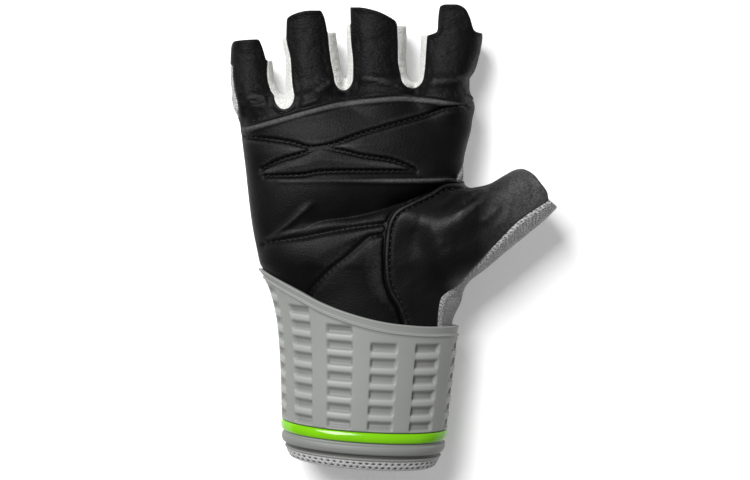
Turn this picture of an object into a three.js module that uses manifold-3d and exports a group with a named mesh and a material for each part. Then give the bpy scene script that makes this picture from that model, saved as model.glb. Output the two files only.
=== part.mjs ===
import * as THREE from 'three';
import Module from 'manifold-3d';
import { mergeVertices } from 'three/addons/utils/BufferGeometryUtils.js';

// A fingerless training glove for the right hand, lying on its back with the palm up.
// Millimetres. X runs to the thumb side, Y to the fingers, Z up out of the palm.

const wasm = await Module();
wasm.setup();

// Thicknesses and clearances
const wall = 2.0;
const padWall = 3.0;
const gap = 0.3;
const grooveDepth = 1.1;
const grooveWidth = 1.3;
const tuckLength = 6;
const farAway = 120;
const ceiling = 80;

// Middle of the whole glove in the tables below, moved to the origin at the end
const middleX = 0.17;
const middleY = 1.07;

// Roundness of the sections: 2 is an ellipse, more is squarer
const bodyRoundness = 2.4;
const fingerRoundness = 2.3;
const cuffRoundness = 2.35;

// Steps round each tube
const bodySteps = 28;
const fingerSteps = 16;
const thumbSteps = 20;
const cuffSteps = 30;

// The hand's main tube, one row per section across it
const body = [
  { y: -48, left: -46.6, right: 25.2, low: 3.7, high: 38.9, hollow: true },
  { y: -36.5, left: -48.1, right: 26.8, low: 3.6, high: 39.2, hollow: true },
  { y: -33, left: -48.6, right: 29, low: 3.6, high: 39.3, hollow: true },
  { y: -26, left: -49.8, right: 31, low: 3.6, high: 39.6 },
  { y: -19, left: -52.1, right: 31.8, low: 3.6, high: 39.9, hollow: true },
  { y: -14, left: -53.9, right: 32, low: 3.4, high: 40.4, hollow: true },
  { y: -11, left: -57, right: 32, low: 2.2, high: 41 },
  { y: -6, left: -59.6, right: 32, low: 1, high: 41.4, hollow: true },
  { y: 4, left: -61.6, right: 32, low: -0.4, high: 41.6 },
  { y: 14, left: -63, right: 31.6, low: -0.8, high: 41.4, hollow: true },
  { y: 34, left: -65.3, right: 31.6, low: -0.8, high: 39.6 },
  { y: 42, left: -66.4, right: 33.3, low: -0.8, high: 38, hollow: true },
  { y: 50, left: -67.5, right: 35.2, low: -0.6, high: 35.8 },
  { y: 57, left: -69, right: 35.8, low: -0.2, high: 33, hollow: true },
  { y: 61, left: -69.8, right: 35.3, low: 0, high: 30.5, hollow: true },
];

// The finger tubes, from the pinky to the index
const fingers = [
  {
    rimLeft: 75.9, rimRight: 78.5,
    tab: [[-71.6, 76.5], [-71.1, 84.3], [-69.7, 86.9], [-59.2, 87.8], [-57.4, 84.7], [-55.6, 78.7]],
    stations: [
      { y: 48, left: -66.4, right: -44, low: 1.5, high: 31 },
      { y: 57, left: -69.7, right: -45.1, low: 0.4, high: 30 },
      { y: 61.8, left: -70.6, right: -47.1, low: 0.6, high: 28.5 },
      { y: 65.3, left: -71.5, right: -49.9, low: 1, high: 27.5 },
      { y: 71.9, left: -72.3, right: -52.4, low: 1.6, high: 26 },
      { y: 78.5, left: -72.4, right: -53.2, low: 2.2, high: 25 },
      { y: 89.5, left: -72.2, right: -54.2, low: 2.6, high: 24.4 },
    ],
  },
  {
    rimLeft: 88.2, rimRight: 90.9,
    tab: [[-46.9, 88.4], [-46.6, 96.4], [-44.7, 98.3], [-36.3, 100.5], [-31.9, 100.5], [-29.7, 96.6], [-28.6, 91]],
    stations: [
      { y: 48, left: -47, right: -18.6, low: 1.5, high: 34.6 },
      { y: 62.3, left: -47.1, right: -18.8, low: 0.6, high: 31.5 },
      { y: 68.9, left: -47.7, right: -20.8, low: 1.2, high: 29.5 },
      { y: 78.5, left: -47.7, right: -23.1, low: 2, high: 28 },
      { y: 87.3, left: -49.1, right: -24.4, low: 2.6, high: 27 },
      { y: 102.5, left: -49.5, right: -26, low: 3, high: 26.4 },
    ],
  },
  {
    rimLeft: 94.4, rimRight: 93.5,
    tab: [[-18.5, 94.5], [-18.7, 101.9], [-15.2, 101.9], [-7.7, 100.5], [-1.1, 97.5], [1.5, 95.6], [2.4, 93.6]],
    stations: [
      { y: 48, left: -21.5, right: 11, low: 1.5, high: 35.4 },
      { y: 62, left: -21.8, right: 11.6, low: 0.6, high: 32.5 },
      { y: 67.6, left: -20.9, right: 10.8, low: 1, high: 31 },
      { y: 70.4, left: -20.3, right: 7.9, low: 1.3, high: 30.2 },
      { y: 78.5, left: -20, right: 6.4, low: 2, high: 29 },
      { y: 87.3, left: -20.5, right: 6.6, low: 2.6, high: 28 },
      { y: 104, left: -20.6, right: 6.2, low: 3, high: 27.4 },
    ],
  },
  {
    rimLeft: 91.3, rimRight: 89.1,
    tab: [[15.2, 89.3], [19.6, 91.4], [20.1, 98.3], [20.9, 102.2], [23.5, 103.2], [27.9, 103.2],
      [31.9, 101.4], [34.1, 97.5], [36.3, 91.4], [43, 89.8]],
    stations: [
      { y: 48, left: 8, right: 34, low: 1.5, high: 33.4 },
      { y: 57, left: 8, right: 35.9, low: 0.4, high: 33 },
      { y: 67.6, left: 9, right: 34.4, low: 1, high: 30.4 },
      { y: 70.4, left: 11.4, right: 34.4, low: 1.3, high: 29.8 },
      { y: 74.1, left: 12.1, right: 36.7, low: 1.6, high: 29 },
      { y: 82.9, left: 12.3, right: 39.4, low: 2.2, high: 28 },
      { y: 90, left: 12.5, right: 40.5, low: 2.6, high: 27.5 },
      { y: 105, left: 13, right: 41, low: 3, high: 27 },
    ],
  },
];

// The thumb tube: each section runs from its upper to its lower edge as seen from above
const thumb = [
  { upperX: 0, upperY: 4.6, lowerX: 14.3, lowerY: -28, low: 3.6, high: 40.5 },
  { upperX: 16.5, upperY: 14.7, lowerX: 27.5, lowerY: -22.5, low: 2.5, high: 44.6 },
  { upperX: 30.6, upperY: 21.3, lowerX: 38.5, lowerY: -15.6, low: 6, high: 43.6 },
  { upperX: 42, upperY: 23.8, lowerX: 49.5, lowerY: -6.4, low: 10, high: 41.6 },
  { upperX: 48.6, upperY: 27.5, lowerX: 59.2, lowerY: 1.5, low: 13, high: 40.4 },
  { upperX: 53.5, upperY: 30.1, lowerX: 67.1, lowerY: 8.1, low: 15, high: 39.8 },
  { upperX: 56.5, upperY: 30.8, lowerX: 72.8, lowerY: 13.9, low: 16, high: 39.4 },
  { upperX: 60.5, upperY: 33.6, lowerX: 76.6, lowerY: 17.6, low: 17, high: 39.2 },
];
const thumbRim = [[56, 31.4], [61.8, 28.6], [65.3, 24.6], [68.4, 19.8]];
const thumbRimBack = [[52.5, 32.7], [62.8, 22.6], [72.7, 13.8], [80, 7]];

// The strips between the fingers: bottom of each gap and how far they come round each finger
const gaps = [
  { x: -47.7, y: 57, leftTop: 1.7, leftLow: 4, rightTop: 2.2, rightLow: 3.8 },
  { x: -21.3, y: 65.3, leftTop: 3.6, leftLow: 4.2, rightTop: 1.8, rightLow: 2.8 },
  { x: 8.6, y: 66.2, leftTop: 4.4, leftLow: 3.7, rightTop: 2.7, rightLow: 1.9 },
];

// Edges and seams of the leather as seen from above
const crotchEdge = [[33.5, 42], [32, 34.5], [30, 30], [28.6, 27], [29.3, 25.4], [33, 26]];
const thumbLowerEdge = [[68.8, 16.7], [56.1, 8.1], [47.3, -0.7], [38.5, -10.3], [29.7, -20], [21.3, -27], [20, -38]];
const thenarSeam = [[33, 24.6], [24, 24.2], [16.5, 20.3], [7.6, 16], [3.2, 13.8], [0, 10.8], [-2.3, 5.6],
  [-3.2, -1], [-3.6, -9], [-3.2, -17.5], [-1.2, -24], [3, -31.5], [7, -48]];
const seams = [
  [[-72, 46], [-57, 45.2], [-45, 43.7], [-32.5, 39.6], [-14, 36], [-1, 34.2]],
  [[-56.5, 30], [-45, 35.6], [-32.5, 39.6], [-14, 45], [12, 52.4], [25, 56.4], [36, 57.6]],
  [[-70, 47.8], [-53, 51.4], [-36, 56], [-16, 60.2], [3.2, 61.6], [25, 59.4]],
  [[-55, 27], [-40, 27.4], [-25, 29.1], [10, 29.2]],
  [[-57, -2.8], [-40, 0.2], [-20, 4], [-3.4, 6.4]],
  [[-3.4, 2], [-9.6, 0.6], [-20.5, -8.4], [-31.5, -18], [-35.4, -23.4], [-38, -32]],
];

// The sleeve round the wrist
const cuff = [
  { y: -102, left: -45.4, right: 20.4, thick: 41.5 },
  { y: -94, left: -47.6, right: 22.6, thick: 43.6 },
  { y: -86, left: -49, right: 24.3, thick: 44 },
  { y: -74, left: -49.5, right: 25.9, thick: 43.8 },
  { y: -62, left: -49.8, right: 27.3, thick: 43.4 },
  { y: -50, left: -50.4, right: 28.8, thick: 42.9 },
  { y: -38, left: -51.4, right: 29.8, thick: 42.6 },
  { y: -26, left: -53.6, right: 31.5, thick: 42.3 },
  { y: -12, left: -58, right: 33, thick: 42 },
];
const cuffEdge = [
  { x: -60, y: -12.6 },
  { x: -49.5, y: -18.5 },
  { x: -40.7, y: -23 },
  { x: -31.9, y: -27.4 },
  { x: -18.7, y: -32.2 },
  { x: -5.5, y: -35.6 },
  { x: 3.3, y: -37 },
  { x: 19.6, y: -38.2 },
  { x: 34, y: -38.2 },
];
const stripeMid = -83.5;
const stripeTiltX = -2.3;
const stripeTiltZ = -2.1;
const stripeHalf = 2.1;
const sleeveThickness = 3.0;
const columnCount = 10;
const columnShift = -1.4;
const slotWidth = 12.6;
const slotHeight = 3.5;
const slotDepth = 1.2;
const slotPitch = 6.75;
const firstSlot = 5.2;
const slotMargin = 5.4;
const slotArcSteps = 2;

// Sections of the moulded sleeve: distance from the stripe's middle, and how far in from the full size
const lowerProfile = [
  { along: -9.8, inset: 0.9 },
  { along: -9, inset: 1.6 },
  { along: -7.6, inset: 1.5 },
  { along: -7.2, inset: 0.5 },
  { along: -5.4, inset: 0.1 },
  { along: -3.7, inset: 0.5 },
  { along: -3.2, inset: 1.3 },
  { along: -2.5, inset: 1.8 },
  { along: 2.45, inset: 1.8 },
  { along: 2.5, inset: 0.6 },
];
const upperProfile = [
  { fromEdge: 22, inset: 0.5 },
  { fromEdge: 4.9, inset: 0.5 },
  { fromEdge: 4.4, inset: 0 },
  { fromEdge: 3.9, inset: 0.1 },
  { fromEdge: 3.5, inset: 0.9 },
  { fromEdge: 0.7, inset: 0.6 },
  { fromEdge: 0, inset: 1.1 },
];
const innerShares = [1, 0.7, 0.4, 0.15, 0];
const clearanceShares = [0, 0.35, 0.65, 0.85, 1];
const hemTop = -4.5;
const hemProfile = [
  { along: -10.2, inset: 1.5 },
  { along: -13, inset: 1.7 },
  { along: -14.3, inset: 2.7 },
  { along: -14.2, inset: 4.3 },
  { along: hemTop, inset: 4.6 },
  { along: hemTop, inset: 3.3 },
  { along: -10.2, inset: 3.3 },
];
const stripeProfile = [
  { along: -stripeHalf, inset: 1.45 },
  { along: -stripeHalf, inset: 0.5 },
  { along: 0, inset: 0.2 },
  { along: stripeHalf, inset: 0.5 },
  { along: stripeHalf, inset: 1.45 },
];

const colours = {
  leather: 0x17181a,
  thumbLeather: 0x1a1b1d,
  mesh: 0x8b8e91,
  strip: 0xe9e9e4,
  rubber: 0x8f918e,
  lime: 0x86d40e,
  hem: 0x8a8b88,
};

// Straight-line reading of a table between two of its rows
function lookUp(table, key, at, column) {
  const first = table[0];
  if (at <= first[key]) return first[column];
  for (let i = 1; i < table.length; i++) {
    const a = table[i - 1];
    const b = table[i];
    if (at <= b[key]) return a[column] + ((b[column] - a[column]) * (at - a[key])) / (b[key] - a[key]);
  }
  return table[table.length - 1][column];
}

// A closed solid from points and triangles, turned to face outwards
function closedSolid(points, triangles) {
  let volume = 0;
  const a = new THREE.Vector3();
  const b = new THREE.Vector3();
  const c = new THREE.Vector3();
  for (let i = 0; i < triangles.length; i += 3) {
    a.fromArray(points, triangles[i] * 3);
    b.fromArray(points, triangles[i + 1] * 3);
    c.fromArray(points, triangles[i + 2] * 3);
    volume += a.dot(b.cross(c));
  }
  const faces = volume < 0 ? triangles.slice().reverse() : triangles;
  const geometry = new THREE.BufferGeometry();
  geometry.setAttribute('position', new THREE.Float32BufferAttribute(points, 3));
  geometry.setIndex(faces);
  return toSolid(geometry);
}

function toSolid(geometry) {
  geometry.deleteAttribute('normal');
  geometry.deleteAttribute('uv');
  const merged = mergeVertices(geometry, 1e-4);
  const mesh = new wasm.Mesh({
    numProp: 3,
    vertProperties: new Float32Array(merged.attributes.position.array),
    triVerts: new Uint32Array(merged.index.array),
  });
  return new wasm.Manifold(mesh);
}

// Joins rings of equal length into a tube with flat ends
function loft(rings) {
  const count = rings[0].length;
  const points = [];
  const triangles = [];
  for (const ring of rings) {
    for (const p of ring) points.push(p[0], p[1], p[2]);
  }
  for (let r = 0; r < rings.length - 1; r++) {
    for (let i = 0; i < count; i++) {
      const j = (i + 1) % count;
      const p = r * count + i;
      const q = r * count + j;
      triangles.push(p, q, q + count, p, q + count, p + count);
    }
  }
  const last = (rings.length - 1) * count;
  for (let i = 1; i < count - 1; i++) {
    triangles.push(0, i + 1, i);
    triangles.push(last, last + i, last + i + 1);
  }
  return closedSolid(points, triangles);
}

// A ring whose profile closes on itself round the wrist
function hoop(profileRings) {
  const rows = profileRings.length;
  const count = profileRings[0].length;
  const points = [];
  const triangles = [];
  for (const ring of profileRings) {
    for (const p of ring) points.push(p[0], p[1], p[2]);
  }
  for (let r = 0; r < rows; r++) {
    const s = (r + 1) % rows;
    for (let i = 0; i < count; i++) {
      const j = (i + 1) % count;
      triangles.push(r * count + i, r * count + j, s * count + j);
      triangles.push(r * count + i, s * count + j, s * count + i);
    }
  }
  return closedSolid(points, triangles);
}

function rounded(value, roundness) {
  return Math.sign(value) * Math.abs(value) ** (2 / roundness);
}

// One section between two edge points, kept above the floor
function section(ax, ay, bx, by, low, high, roundness, steps, shrink, topShrink, floor) {
  const cx = (ax + bx) / 2;
  const cy = (ay + by) / 2;
  const half = Math.hypot(bx - ax, by - ay) / 2;
  const ux = (bx - ax) / (2 * half);
  const uy = (by - ay) / (2 * half);
  const top = high - topShrink;
  const bottom = low + shrink;
  const ring = [];
  for (let i = 0; i < steps; i++) {
    const angle = (2 * Math.PI * i) / steps;
    const across = (half - shrink) * rounded(Math.cos(angle), roundness);
    const up = (top + bottom) / 2 + ((top - bottom) / 2) * rounded(Math.sin(angle), roundness);
    ring.push([cx + ux * across, cy + uy * across, Math.max(up, floor)]);
  }
  return ring;
}

function straightTube(stations, roundness, steps, shrink, topShrink, floor, startAt, endAt) {
  const rows = stations.map((s) => ({ ...s }));
  rows[0].y = startAt;
  rows[rows.length - 1].y = endAt;
  return loft(rows.map((s) =>
    section(s.left, s.y, s.right, s.y, s.low, s.high, roundness, steps, shrink, topShrink, floor)));
}

// The whole hand as one solid, shrunk by the wall for its hollow
function handForm(shrink, topShrink, floor, extra, coarse) {
  const first = body[0].y - extra;
  const last = body[body.length - 1].y - shrink;
  const rows = coarse ? body.filter((row) => row.hollow) : body;
  const fewer = coarse ? 0.75 : 1;
  let form = straightTube(rows, bodyRoundness, bodySteps * fewer, shrink, topShrink, floor, first, last);
  for (const finger of fingers) {
    const top = finger.stations[finger.stations.length - 1].y + extra;
    const start = finger.stations[0].y + shrink;
    form = form.add(straightTube(
      finger.stations, fingerRoundness, fingerSteps * fewer, shrink, shrink, floor, start, top));
  }
  const rings = thumb.map((s, index) => {
    const reach = index === thumb.length - 1 ? extra : 0;
    return section(s.upperX + reach, s.upperY + reach, s.lowerX + reach, s.lowerY + reach,
      s.low, s.high, fingerRoundness, thumbSteps * fewer, shrink, shrink, floor);
  });
  return form.add(loft(rings));
}

// An upright block with the given outline
function prism(points, low, high) {
  const shape = new THREE.Shape(points.map((p) => new THREE.Vector2(p[0], p[1])));
  const block = new THREE.ExtrudeGeometry(shape, { depth: high - low, bevelEnabled: false });
  block.translate(0, 0, low);
  return toSolid(block);
}

// The same line moved sideways
function shifted(line, distance) {
  return line.map((p, i) => {
    const before = line[Math.max(i - 1, 0)];
    const after = line[Math.min(i + 1, line.length - 1)];
    const dx = after[0] - before[0];
    const dy = after[1] - before[1];
    const length = Math.hypot(dx, dy);
    return [p[0] - (dy / length) * distance, p[1] + (dx / length) * distance];
  });
}

function ribbon(line, width, low, high) {
  const left = shifted(line, width / 2);
  const right = shifted(line, -width / 2);
  return prism([...left, ...right.reverse()], low, high);
}

// Height of the seam between the palm side and the back
function seamHeight(x, y) {
  const thumbRise = THREE.MathUtils.smoothstep(x, 22, 62) * 10;
  const fingerDrop = THREE.MathUtils.smoothstep(y, 45, 80) * 2;
  return 16.5 + thumbRise - fingerDrop;
}

// Everything above the seam height, lifted by an amount
function aboveSeam(lift) {
  const columns = 7;
  const rows = 4;
  const points = [];
  const triangles = [];
  const stride = columns + 1;
  for (let level = 0; level < 2; level++) {
    for (let r = 0; r <= rows; r++) {
      for (let c = 0; c <= columns; c++) {
        const x = -90 + (190 * c) / columns;
        const y = -70 + (190 * r) / rows;
        points.push(x, y, level ? ceiling : seamHeight(x, y) + lift);
      }
    }
  }
  const layer = stride * (rows + 1);
  for (let r = 0; r < rows; r++) {
    for (let c = 0; c < columns; c++) {
      const p = r * stride + c;
      triangles.push(p, p + stride, p + 1, p + 1, p + stride, p + stride + 1);
      const q = p + layer;
      triangles.push(q, q + 1, q + stride, q + 1, q + stride + 1, q + stride);
    }
  }
  const rim = [];
  for (let c = 0; c < columns; c++) rim.push(c);
  for (let r = 0; r < rows; r++) rim.push(r * stride + columns);
  for (let c = columns; c > 0; c--) rim.push(rows * stride + c);
  for (let r = rows; r > 0; r--) rim.push(r * stride);
  for (let i = 0; i < rim.length; i++) {
    const p = rim[i];
    const q = rim[(i + 1) % rim.length];
    triangles.push(p, q, q + layer, p, q + layer, p + layer);
  }
  return closedSolid(points, triangles);
}

// Region of the strip between two fingers
function gapRegion(index, grow) {
  const g = gaps[index];
  const before = fingers[index];
  const after = fingers[index + 1];
  const bend = 6;
  const leftLine = [];
  const rightLine = [];
  for (let i = 0; i <= 3; i++) {
    const t = i / 3;
    const yLeft = THREE.MathUtils.lerp(before.rimRight + grow, g.y + bend, t);
    const yRight = THREE.MathUtils.lerp(after.rimLeft + grow, g.y + bend, t);
    const wLeft = THREE.MathUtils.lerp(g.leftTop, g.leftLow, t) + grow;
    const wRight = THREE.MathUtils.lerp(g.rightTop, g.rightLow, t) + grow;
    leftLine.push([lookUp(before.stations, 'y', yLeft, 'right') - wLeft, yLeft]);
    rightLine.push([lookUp(after.stations, 'y', yRight, 'left') + wRight, yRight]);
  }
  const above = 6;
  leftLine.unshift([leftLine[0][0], before.rimRight + above]);
  rightLine.unshift([rightLine[0][0], after.rimLeft + above]);
  const bottom = [];
  const a = leftLine[4];
  const b = rightLine[4];
  for (let i = 1; i < 6; i++) {
    const angle = Math.PI * (i / 6);
    const x = (a[0] + b[0]) / 2 - ((b[0] - a[0]) / 2) * Math.cos(angle);
    bottom.push([x, g.y + bend - (bend + grow) * Math.sin(angle)]);
  }
  return prism([...leftLine, ...bottom, ...rightLine.reverse()], -5, ceiling);
}

// Front strip of one finger with its tab, inside the strips between the fingers
function frontStrip(finger, index, shrink) {
  const insetLeft = index === 0 ? 1.1 : 0;
  const low = 52;
  const left = [];
  for (let i = 0; i <= 4; i++) {
    const y = low + ((finger.rimLeft - low) * i) / 4;
    left.push([lookUp(finger.stations, 'y', y, 'left') + insetLeft + shrink, y]);
  }
  const middle = (finger.tab[0][0] + finger.tab[finger.tab.length - 1][0]) / 2;
  const top = finger.tab.map((p) => [p[0] - Math.sign(p[0] - middle) * shrink, p[1] - shrink]);
  const outer = index === 3 ? 6 : 0;
  const right = [];
  for (let i = 0; i <= 4; i++) {
    const y = finger.rimRight + ((low - finger.rimRight) * i) / 4;
    right.push([lookUp(finger.stations, 'y', y, 'right') + outer - shrink, y]);
  }
  return prism([...left, ...top, ...right], -5, ceiling);
}

// Upright block that holds the leather of the palm, the finger fronts and the thumb
function leatherRegion(shrink) {
  const outline = [
    [-farAway, -70], [-farAway, 46], [-68.2 + shrink, 50], [-67.8 + shrink, 58], [-60, 60], [farAway, 60],
    [farAway, 44], ...shifted(crotchEdge, -shrink), [42, 34], [52, 38],
    ...shifted([...thumbRim, ...thumbLowerEdge], -shrink), [20 - shrink, -70],
  ];
  let region = prism(outline, -5, ceiling);
  fingers.forEach((finger, index) => {
    region = region.add(frontStrip(finger, index, shrink));
  });
  gaps.forEach((g, index) => {
    region = region.subtract(gapRegion(index, gap / 2 + shrink));
  });
  return region;
}

// Everything up to the rims of the back
function backRegion() {
  const rims = [];
  for (const finger of fingers) {
    const last = finger.stations[finger.stations.length - 1];
    rims.push([last.left - 1.2, finger.rimLeft]);
    rims.push([last.right + 1.2, finger.rimRight]);
  }
  const outline = [[-farAway, -70], [-farAway, fingers[0].rimLeft], ...rims, [farAway, 88.5],
    [farAway, 50], ...thumbRimBack, [farAway, -70]];
  return prism(outline, -5, ceiling);
}

function thumbRegion(shrink) {
  const seam = shifted(thenarSeam, shrink);
  const crotch = [[52, 60], [34.5 + shrink, 28], [33 + shrink, 24.6 - shrink]];
  return prism([[farAway, 60], ...crotch, ...seam.slice(1), [7, -80], [farAway, -80]], -5, ceiling);
}

// The sleeve's surface: angle round the wrist, distance along from the stripe, inset from full size
function stripeLine(angle) {
  return stripeMid + stripeTiltX * Math.cos(angle) + stripeTiltZ * Math.sin(angle);
}

function cuffPoint(angle, along, inset) {
  const y = stripeLine(angle) + along;
  const left = lookUp(cuff, 'y', y, 'left');
  const right = lookUp(cuff, 'y', y, 'right');
  const thick = lookUp(cuff, 'y', y, 'thick');
  const x = (left + right) / 2 + ((right - left) / 2 - inset) * rounded(Math.cos(angle), cuffRoundness);
  const z = thick / 2 + (thick / 2 - inset) * rounded(Math.sin(angle), cuffRoundness);
  return [x, y, z];
}

// The sleeve's width changes along it, so the place of its top edge is found in three rounds
function edgeAlong(angle) {
  let along = 45;
  for (let round = 0; round < 3; round++) {
    const x = cuffPoint(angle, along, 0)[0];
    along = lookUp(cuffEdge, 'x', x, 'y') - stripeLine(angle);
  }
  return along;
}

// Even spacing round the wrist, measured along the surface from the middle of the palm side
const arcTable = [];
function fillArcTable() {
  const steps = 360;
  let length = 0;
  let previous = null;
  for (let i = 0; i <= steps; i++) {
    const angle = Math.PI / 2 - (2 * Math.PI * i) / steps;
    const p = cuffPoint(angle, 20, 0);
    if (previous) length += Math.hypot(p[0] - previous[0], p[2] - previous[2]);
    arcTable.push({ length, angle });
    previous = p;
  }
}
fillArcTable();
const girth = arcTable[arcTable.length - 1].length;

function angleAtArc(length) {
  return lookUp(arcTable, 'length', ((length % girth) + girth) % girth, 'angle');
}

const cuffAngles = [];
for (let i = 0; i < cuffSteps; i++) {
  cuffAngles.push(angleAtArc((girth * i) / cuffSteps));
}

function cuffRing(alongOf, inset) {
  return cuffAngles.map((angle) => cuffPoint(angle, alongOf(angle), inset));
}

function slotCutter(middleArc, along) {
  const rings = [];
  for (const [dy, inset] of [[-0.5, -1], [0.5, -1], [0.5, slotDepth + 0.5], [-0.5, slotDepth + 0.5]]) {
    const ring = [];
    for (let i = 0; i <= slotArcSteps; i++) {
      const angle = angleAtArc(middleArc + slotWidth * (i / slotArcSteps - 0.5));
      ring.push(cuffPoint(angle, along + dy * slotHeight, inset));
    }
    rings.push(ring);
  }
  const points = rings.flat(2);
  const triangles = [];
  const count = slotArcSteps + 1;
  for (let r = 0; r < 4; r++) {
    const s = (r + 1) % 4;
    for (let i = 0; i < slotArcSteps; i++) {
      triangles.push(r * count + i, r * count + i + 1, s * count + i + 1);
      triangles.push(r * count + i, s * count + i + 1, s * count + i);
    }
  }
  const end = count - 1;
  triangles.push(0, count, 2 * count, 0, 2 * count, 3 * count);
  triangles.push(end, 2 * count + end, count + end, end, 3 * count + end, 2 * count + end);
  return closedSolid(points, triangles);
}

function moulding() {
  const rings = [];
  for (const row of lowerProfile) rings.push(cuffRing(() => row.along, row.inset));
  for (const row of upperProfile) rings.push(cuffRing((angle) => edgeAlong(angle) - row.fromEdge, row.inset));
  for (const share of innerShares) {
    rings.push(cuffRing((angle) => hemTop + (edgeAlong(angle) - hemTop) * share, sleeveThickness));
  }
  rings.push(cuffRing(() => lowerProfile[0].along, sleeveThickness));
  let sleeve = hoop(rings);
  for (let c = 0; c < columnCount; c++) {
    const arc = (girth * (c + 0.5)) / columnCount + columnShift;
    const limit = edgeAlong(angleAtArc(arc)) - slotMargin - slotHeight / 2;
    for (let along = firstSlot; along < limit; along += slotPitch) {
      sleeve = sleeve.subtract(slotCutter(arc, along));
    }
  }
  return sleeve;
}

function profileHoop(profile) {
  return hoop(profile.map((row) => cuffRing(() => row.along, row.inset)));
}

// Space kept clear for the sleeve round the hand's lower edge
function sleeveClearance() {
  const ringAt = (share, inset) => cuffRing((angle) => 10 + (edgeAlong(angle) + gap - 10) * share, inset);
  const outside = clearanceShares.map((share) => ringAt(share, -4));
  const inside = clearanceShares.map((share) => ringAt(share, sleeveThickness + gap));
  return hoop([...outside, ...inside.reverse()]);
}

function handLimit() {
  const edge = cuffEdge.map((row) => [row.x, row.y - tuckLength]);
  return prism([[-farAway, edge[0][1]], ...edge, [farAway, edge[edge.length - 1][1]],
    [farAway, farAway], [-farAway, farAway]], -5, ceiling);
}

// Keeps only the largest body of a solid
function largest(solid) {
  let best = null;
  for (const part of solid.decompose()) {
    if (!best || part.volume() > best.volume()) best = part;
  }
  return best;
}

function addNode(group, name, solid, colour, roughness, metalness) {
  const mesh = solid.getMesh();
  const geometry = new THREE.BufferGeometry();
  geometry.setAttribute('position', new THREE.BufferAttribute(new Float32Array(mesh.vertProperties), 3));
  geometry.setIndex(new THREE.BufferAttribute(new Uint32Array(mesh.triVerts), 1));
  geometry.computeVertexNormals();
  const material = new THREE.MeshStandardMaterial({ color: colour, roughness, metalness });
  const node = new THREE.Mesh(geometry, material);
  node.name = name;
  group.add(node);
}

const outer = handForm(0, 0, 0, 0, false);
const inner = handForm(wall, padWall, wall, 8, true);
const core = handForm(grooveDepth, grooveDepth, -5, 4, true);
const shell = outer.subtract(inner).intersect(handLimit()).subtract(sleeveClearance());

let leather = shell.intersect(leatherRegion(gap / 2)).intersect(aboveSeam(gap / 2));
for (const seam of seams) {
  const groove = ribbon(seam, grooveWidth, 20, ceiling).subtract(core);
  leather = leather.subtract(groove);
}
const palmPanel = largest(leather.subtract(thumbRegion(-gap / 2)));
const thumbPanel = largest(leather.intersect(thumbRegion(gap / 2)));

const behind = shell.intersect(backRegion());
let backPanel = behind.subtract(leatherRegion(-gap / 2).intersect(aboveSeam(-gap / 2)));
gaps.forEach((g, index) => {
  backPanel = backPanel.subtract(gapRegion(index, gap / 2));
});

const glove = new THREE.Group();
glove.name = 'glove';
glove.position.set(-middleX, -middleY, 0);
addNode(glove, 'palm_panel', palmPanel, colours.leather, 0.55, 0);
addNode(glove, 'thumb_panel', thumbPanel, colours.thumbLeather, 0.55, 0);
addNode(glove, 'back_panel', largest(backPanel), colours.mesh, 0.9, 0);
['fourchette_pinky_ring', 'fourchette_ring_middle', 'fourchette_middle_index'].forEach((name, index) => {
  const strip = largest(behind.intersect(gapRegion(index, -gap / 2)));
  addNode(glove, name, strip, colours.strip, 0.95, 0);
});
addNode(glove, 'cuff_sleeve', moulding(), colours.rubber, 0.6, 0);
addNode(glove, 'cuff_stripe', profileHoop(stripeProfile), colours.lime, 0.25, 0);
addNode(glove, 'cuff_hem', profileHoop(hemProfile), colours.hem, 0.9, 0);

export default glove;
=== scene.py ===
import bpy
import numpy as np
import openvdb
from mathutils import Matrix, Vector
from mathutils.bvhtree import BVHTree


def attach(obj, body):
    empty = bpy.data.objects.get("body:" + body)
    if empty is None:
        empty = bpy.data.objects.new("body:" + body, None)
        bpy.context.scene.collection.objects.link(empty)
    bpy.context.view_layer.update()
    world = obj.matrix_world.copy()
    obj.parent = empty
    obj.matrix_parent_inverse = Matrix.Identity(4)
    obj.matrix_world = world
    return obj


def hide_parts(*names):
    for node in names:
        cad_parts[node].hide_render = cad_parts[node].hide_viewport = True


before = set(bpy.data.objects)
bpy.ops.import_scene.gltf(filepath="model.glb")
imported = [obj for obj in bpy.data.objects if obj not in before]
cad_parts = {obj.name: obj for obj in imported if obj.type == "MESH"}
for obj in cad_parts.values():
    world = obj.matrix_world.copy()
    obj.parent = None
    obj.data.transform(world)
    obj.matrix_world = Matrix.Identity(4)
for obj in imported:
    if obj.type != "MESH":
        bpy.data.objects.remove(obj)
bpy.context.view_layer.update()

# Shapes are worked out in millimetres on the pattern's own grid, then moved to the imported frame
place = {"shiftX": 0.17, "shiftY": 1.07}
camera = {"x": -7.7, "y": -0.66, "height": 800.0, "plane": 24.0, "width": 330.0}


def smoothstep(value, low, high):
    t = np.clip((value - low) / (high - low), 0, 1)
    return t * t * (3 - 2 * t)


def smoothMin(a, b, blend):
    h = np.maximum(blend - np.abs(a - b), 0) / blend
    return np.minimum(a, b) - h * h * blend / 4


def smoothMax(a, b, blend):
    return -smoothMin(-a, -b, blend)


# A soft ridge: 1 on its line and falling away to both sides
def ridge(away, width):
    return np.exp(-(away / width) ** 2)


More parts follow.
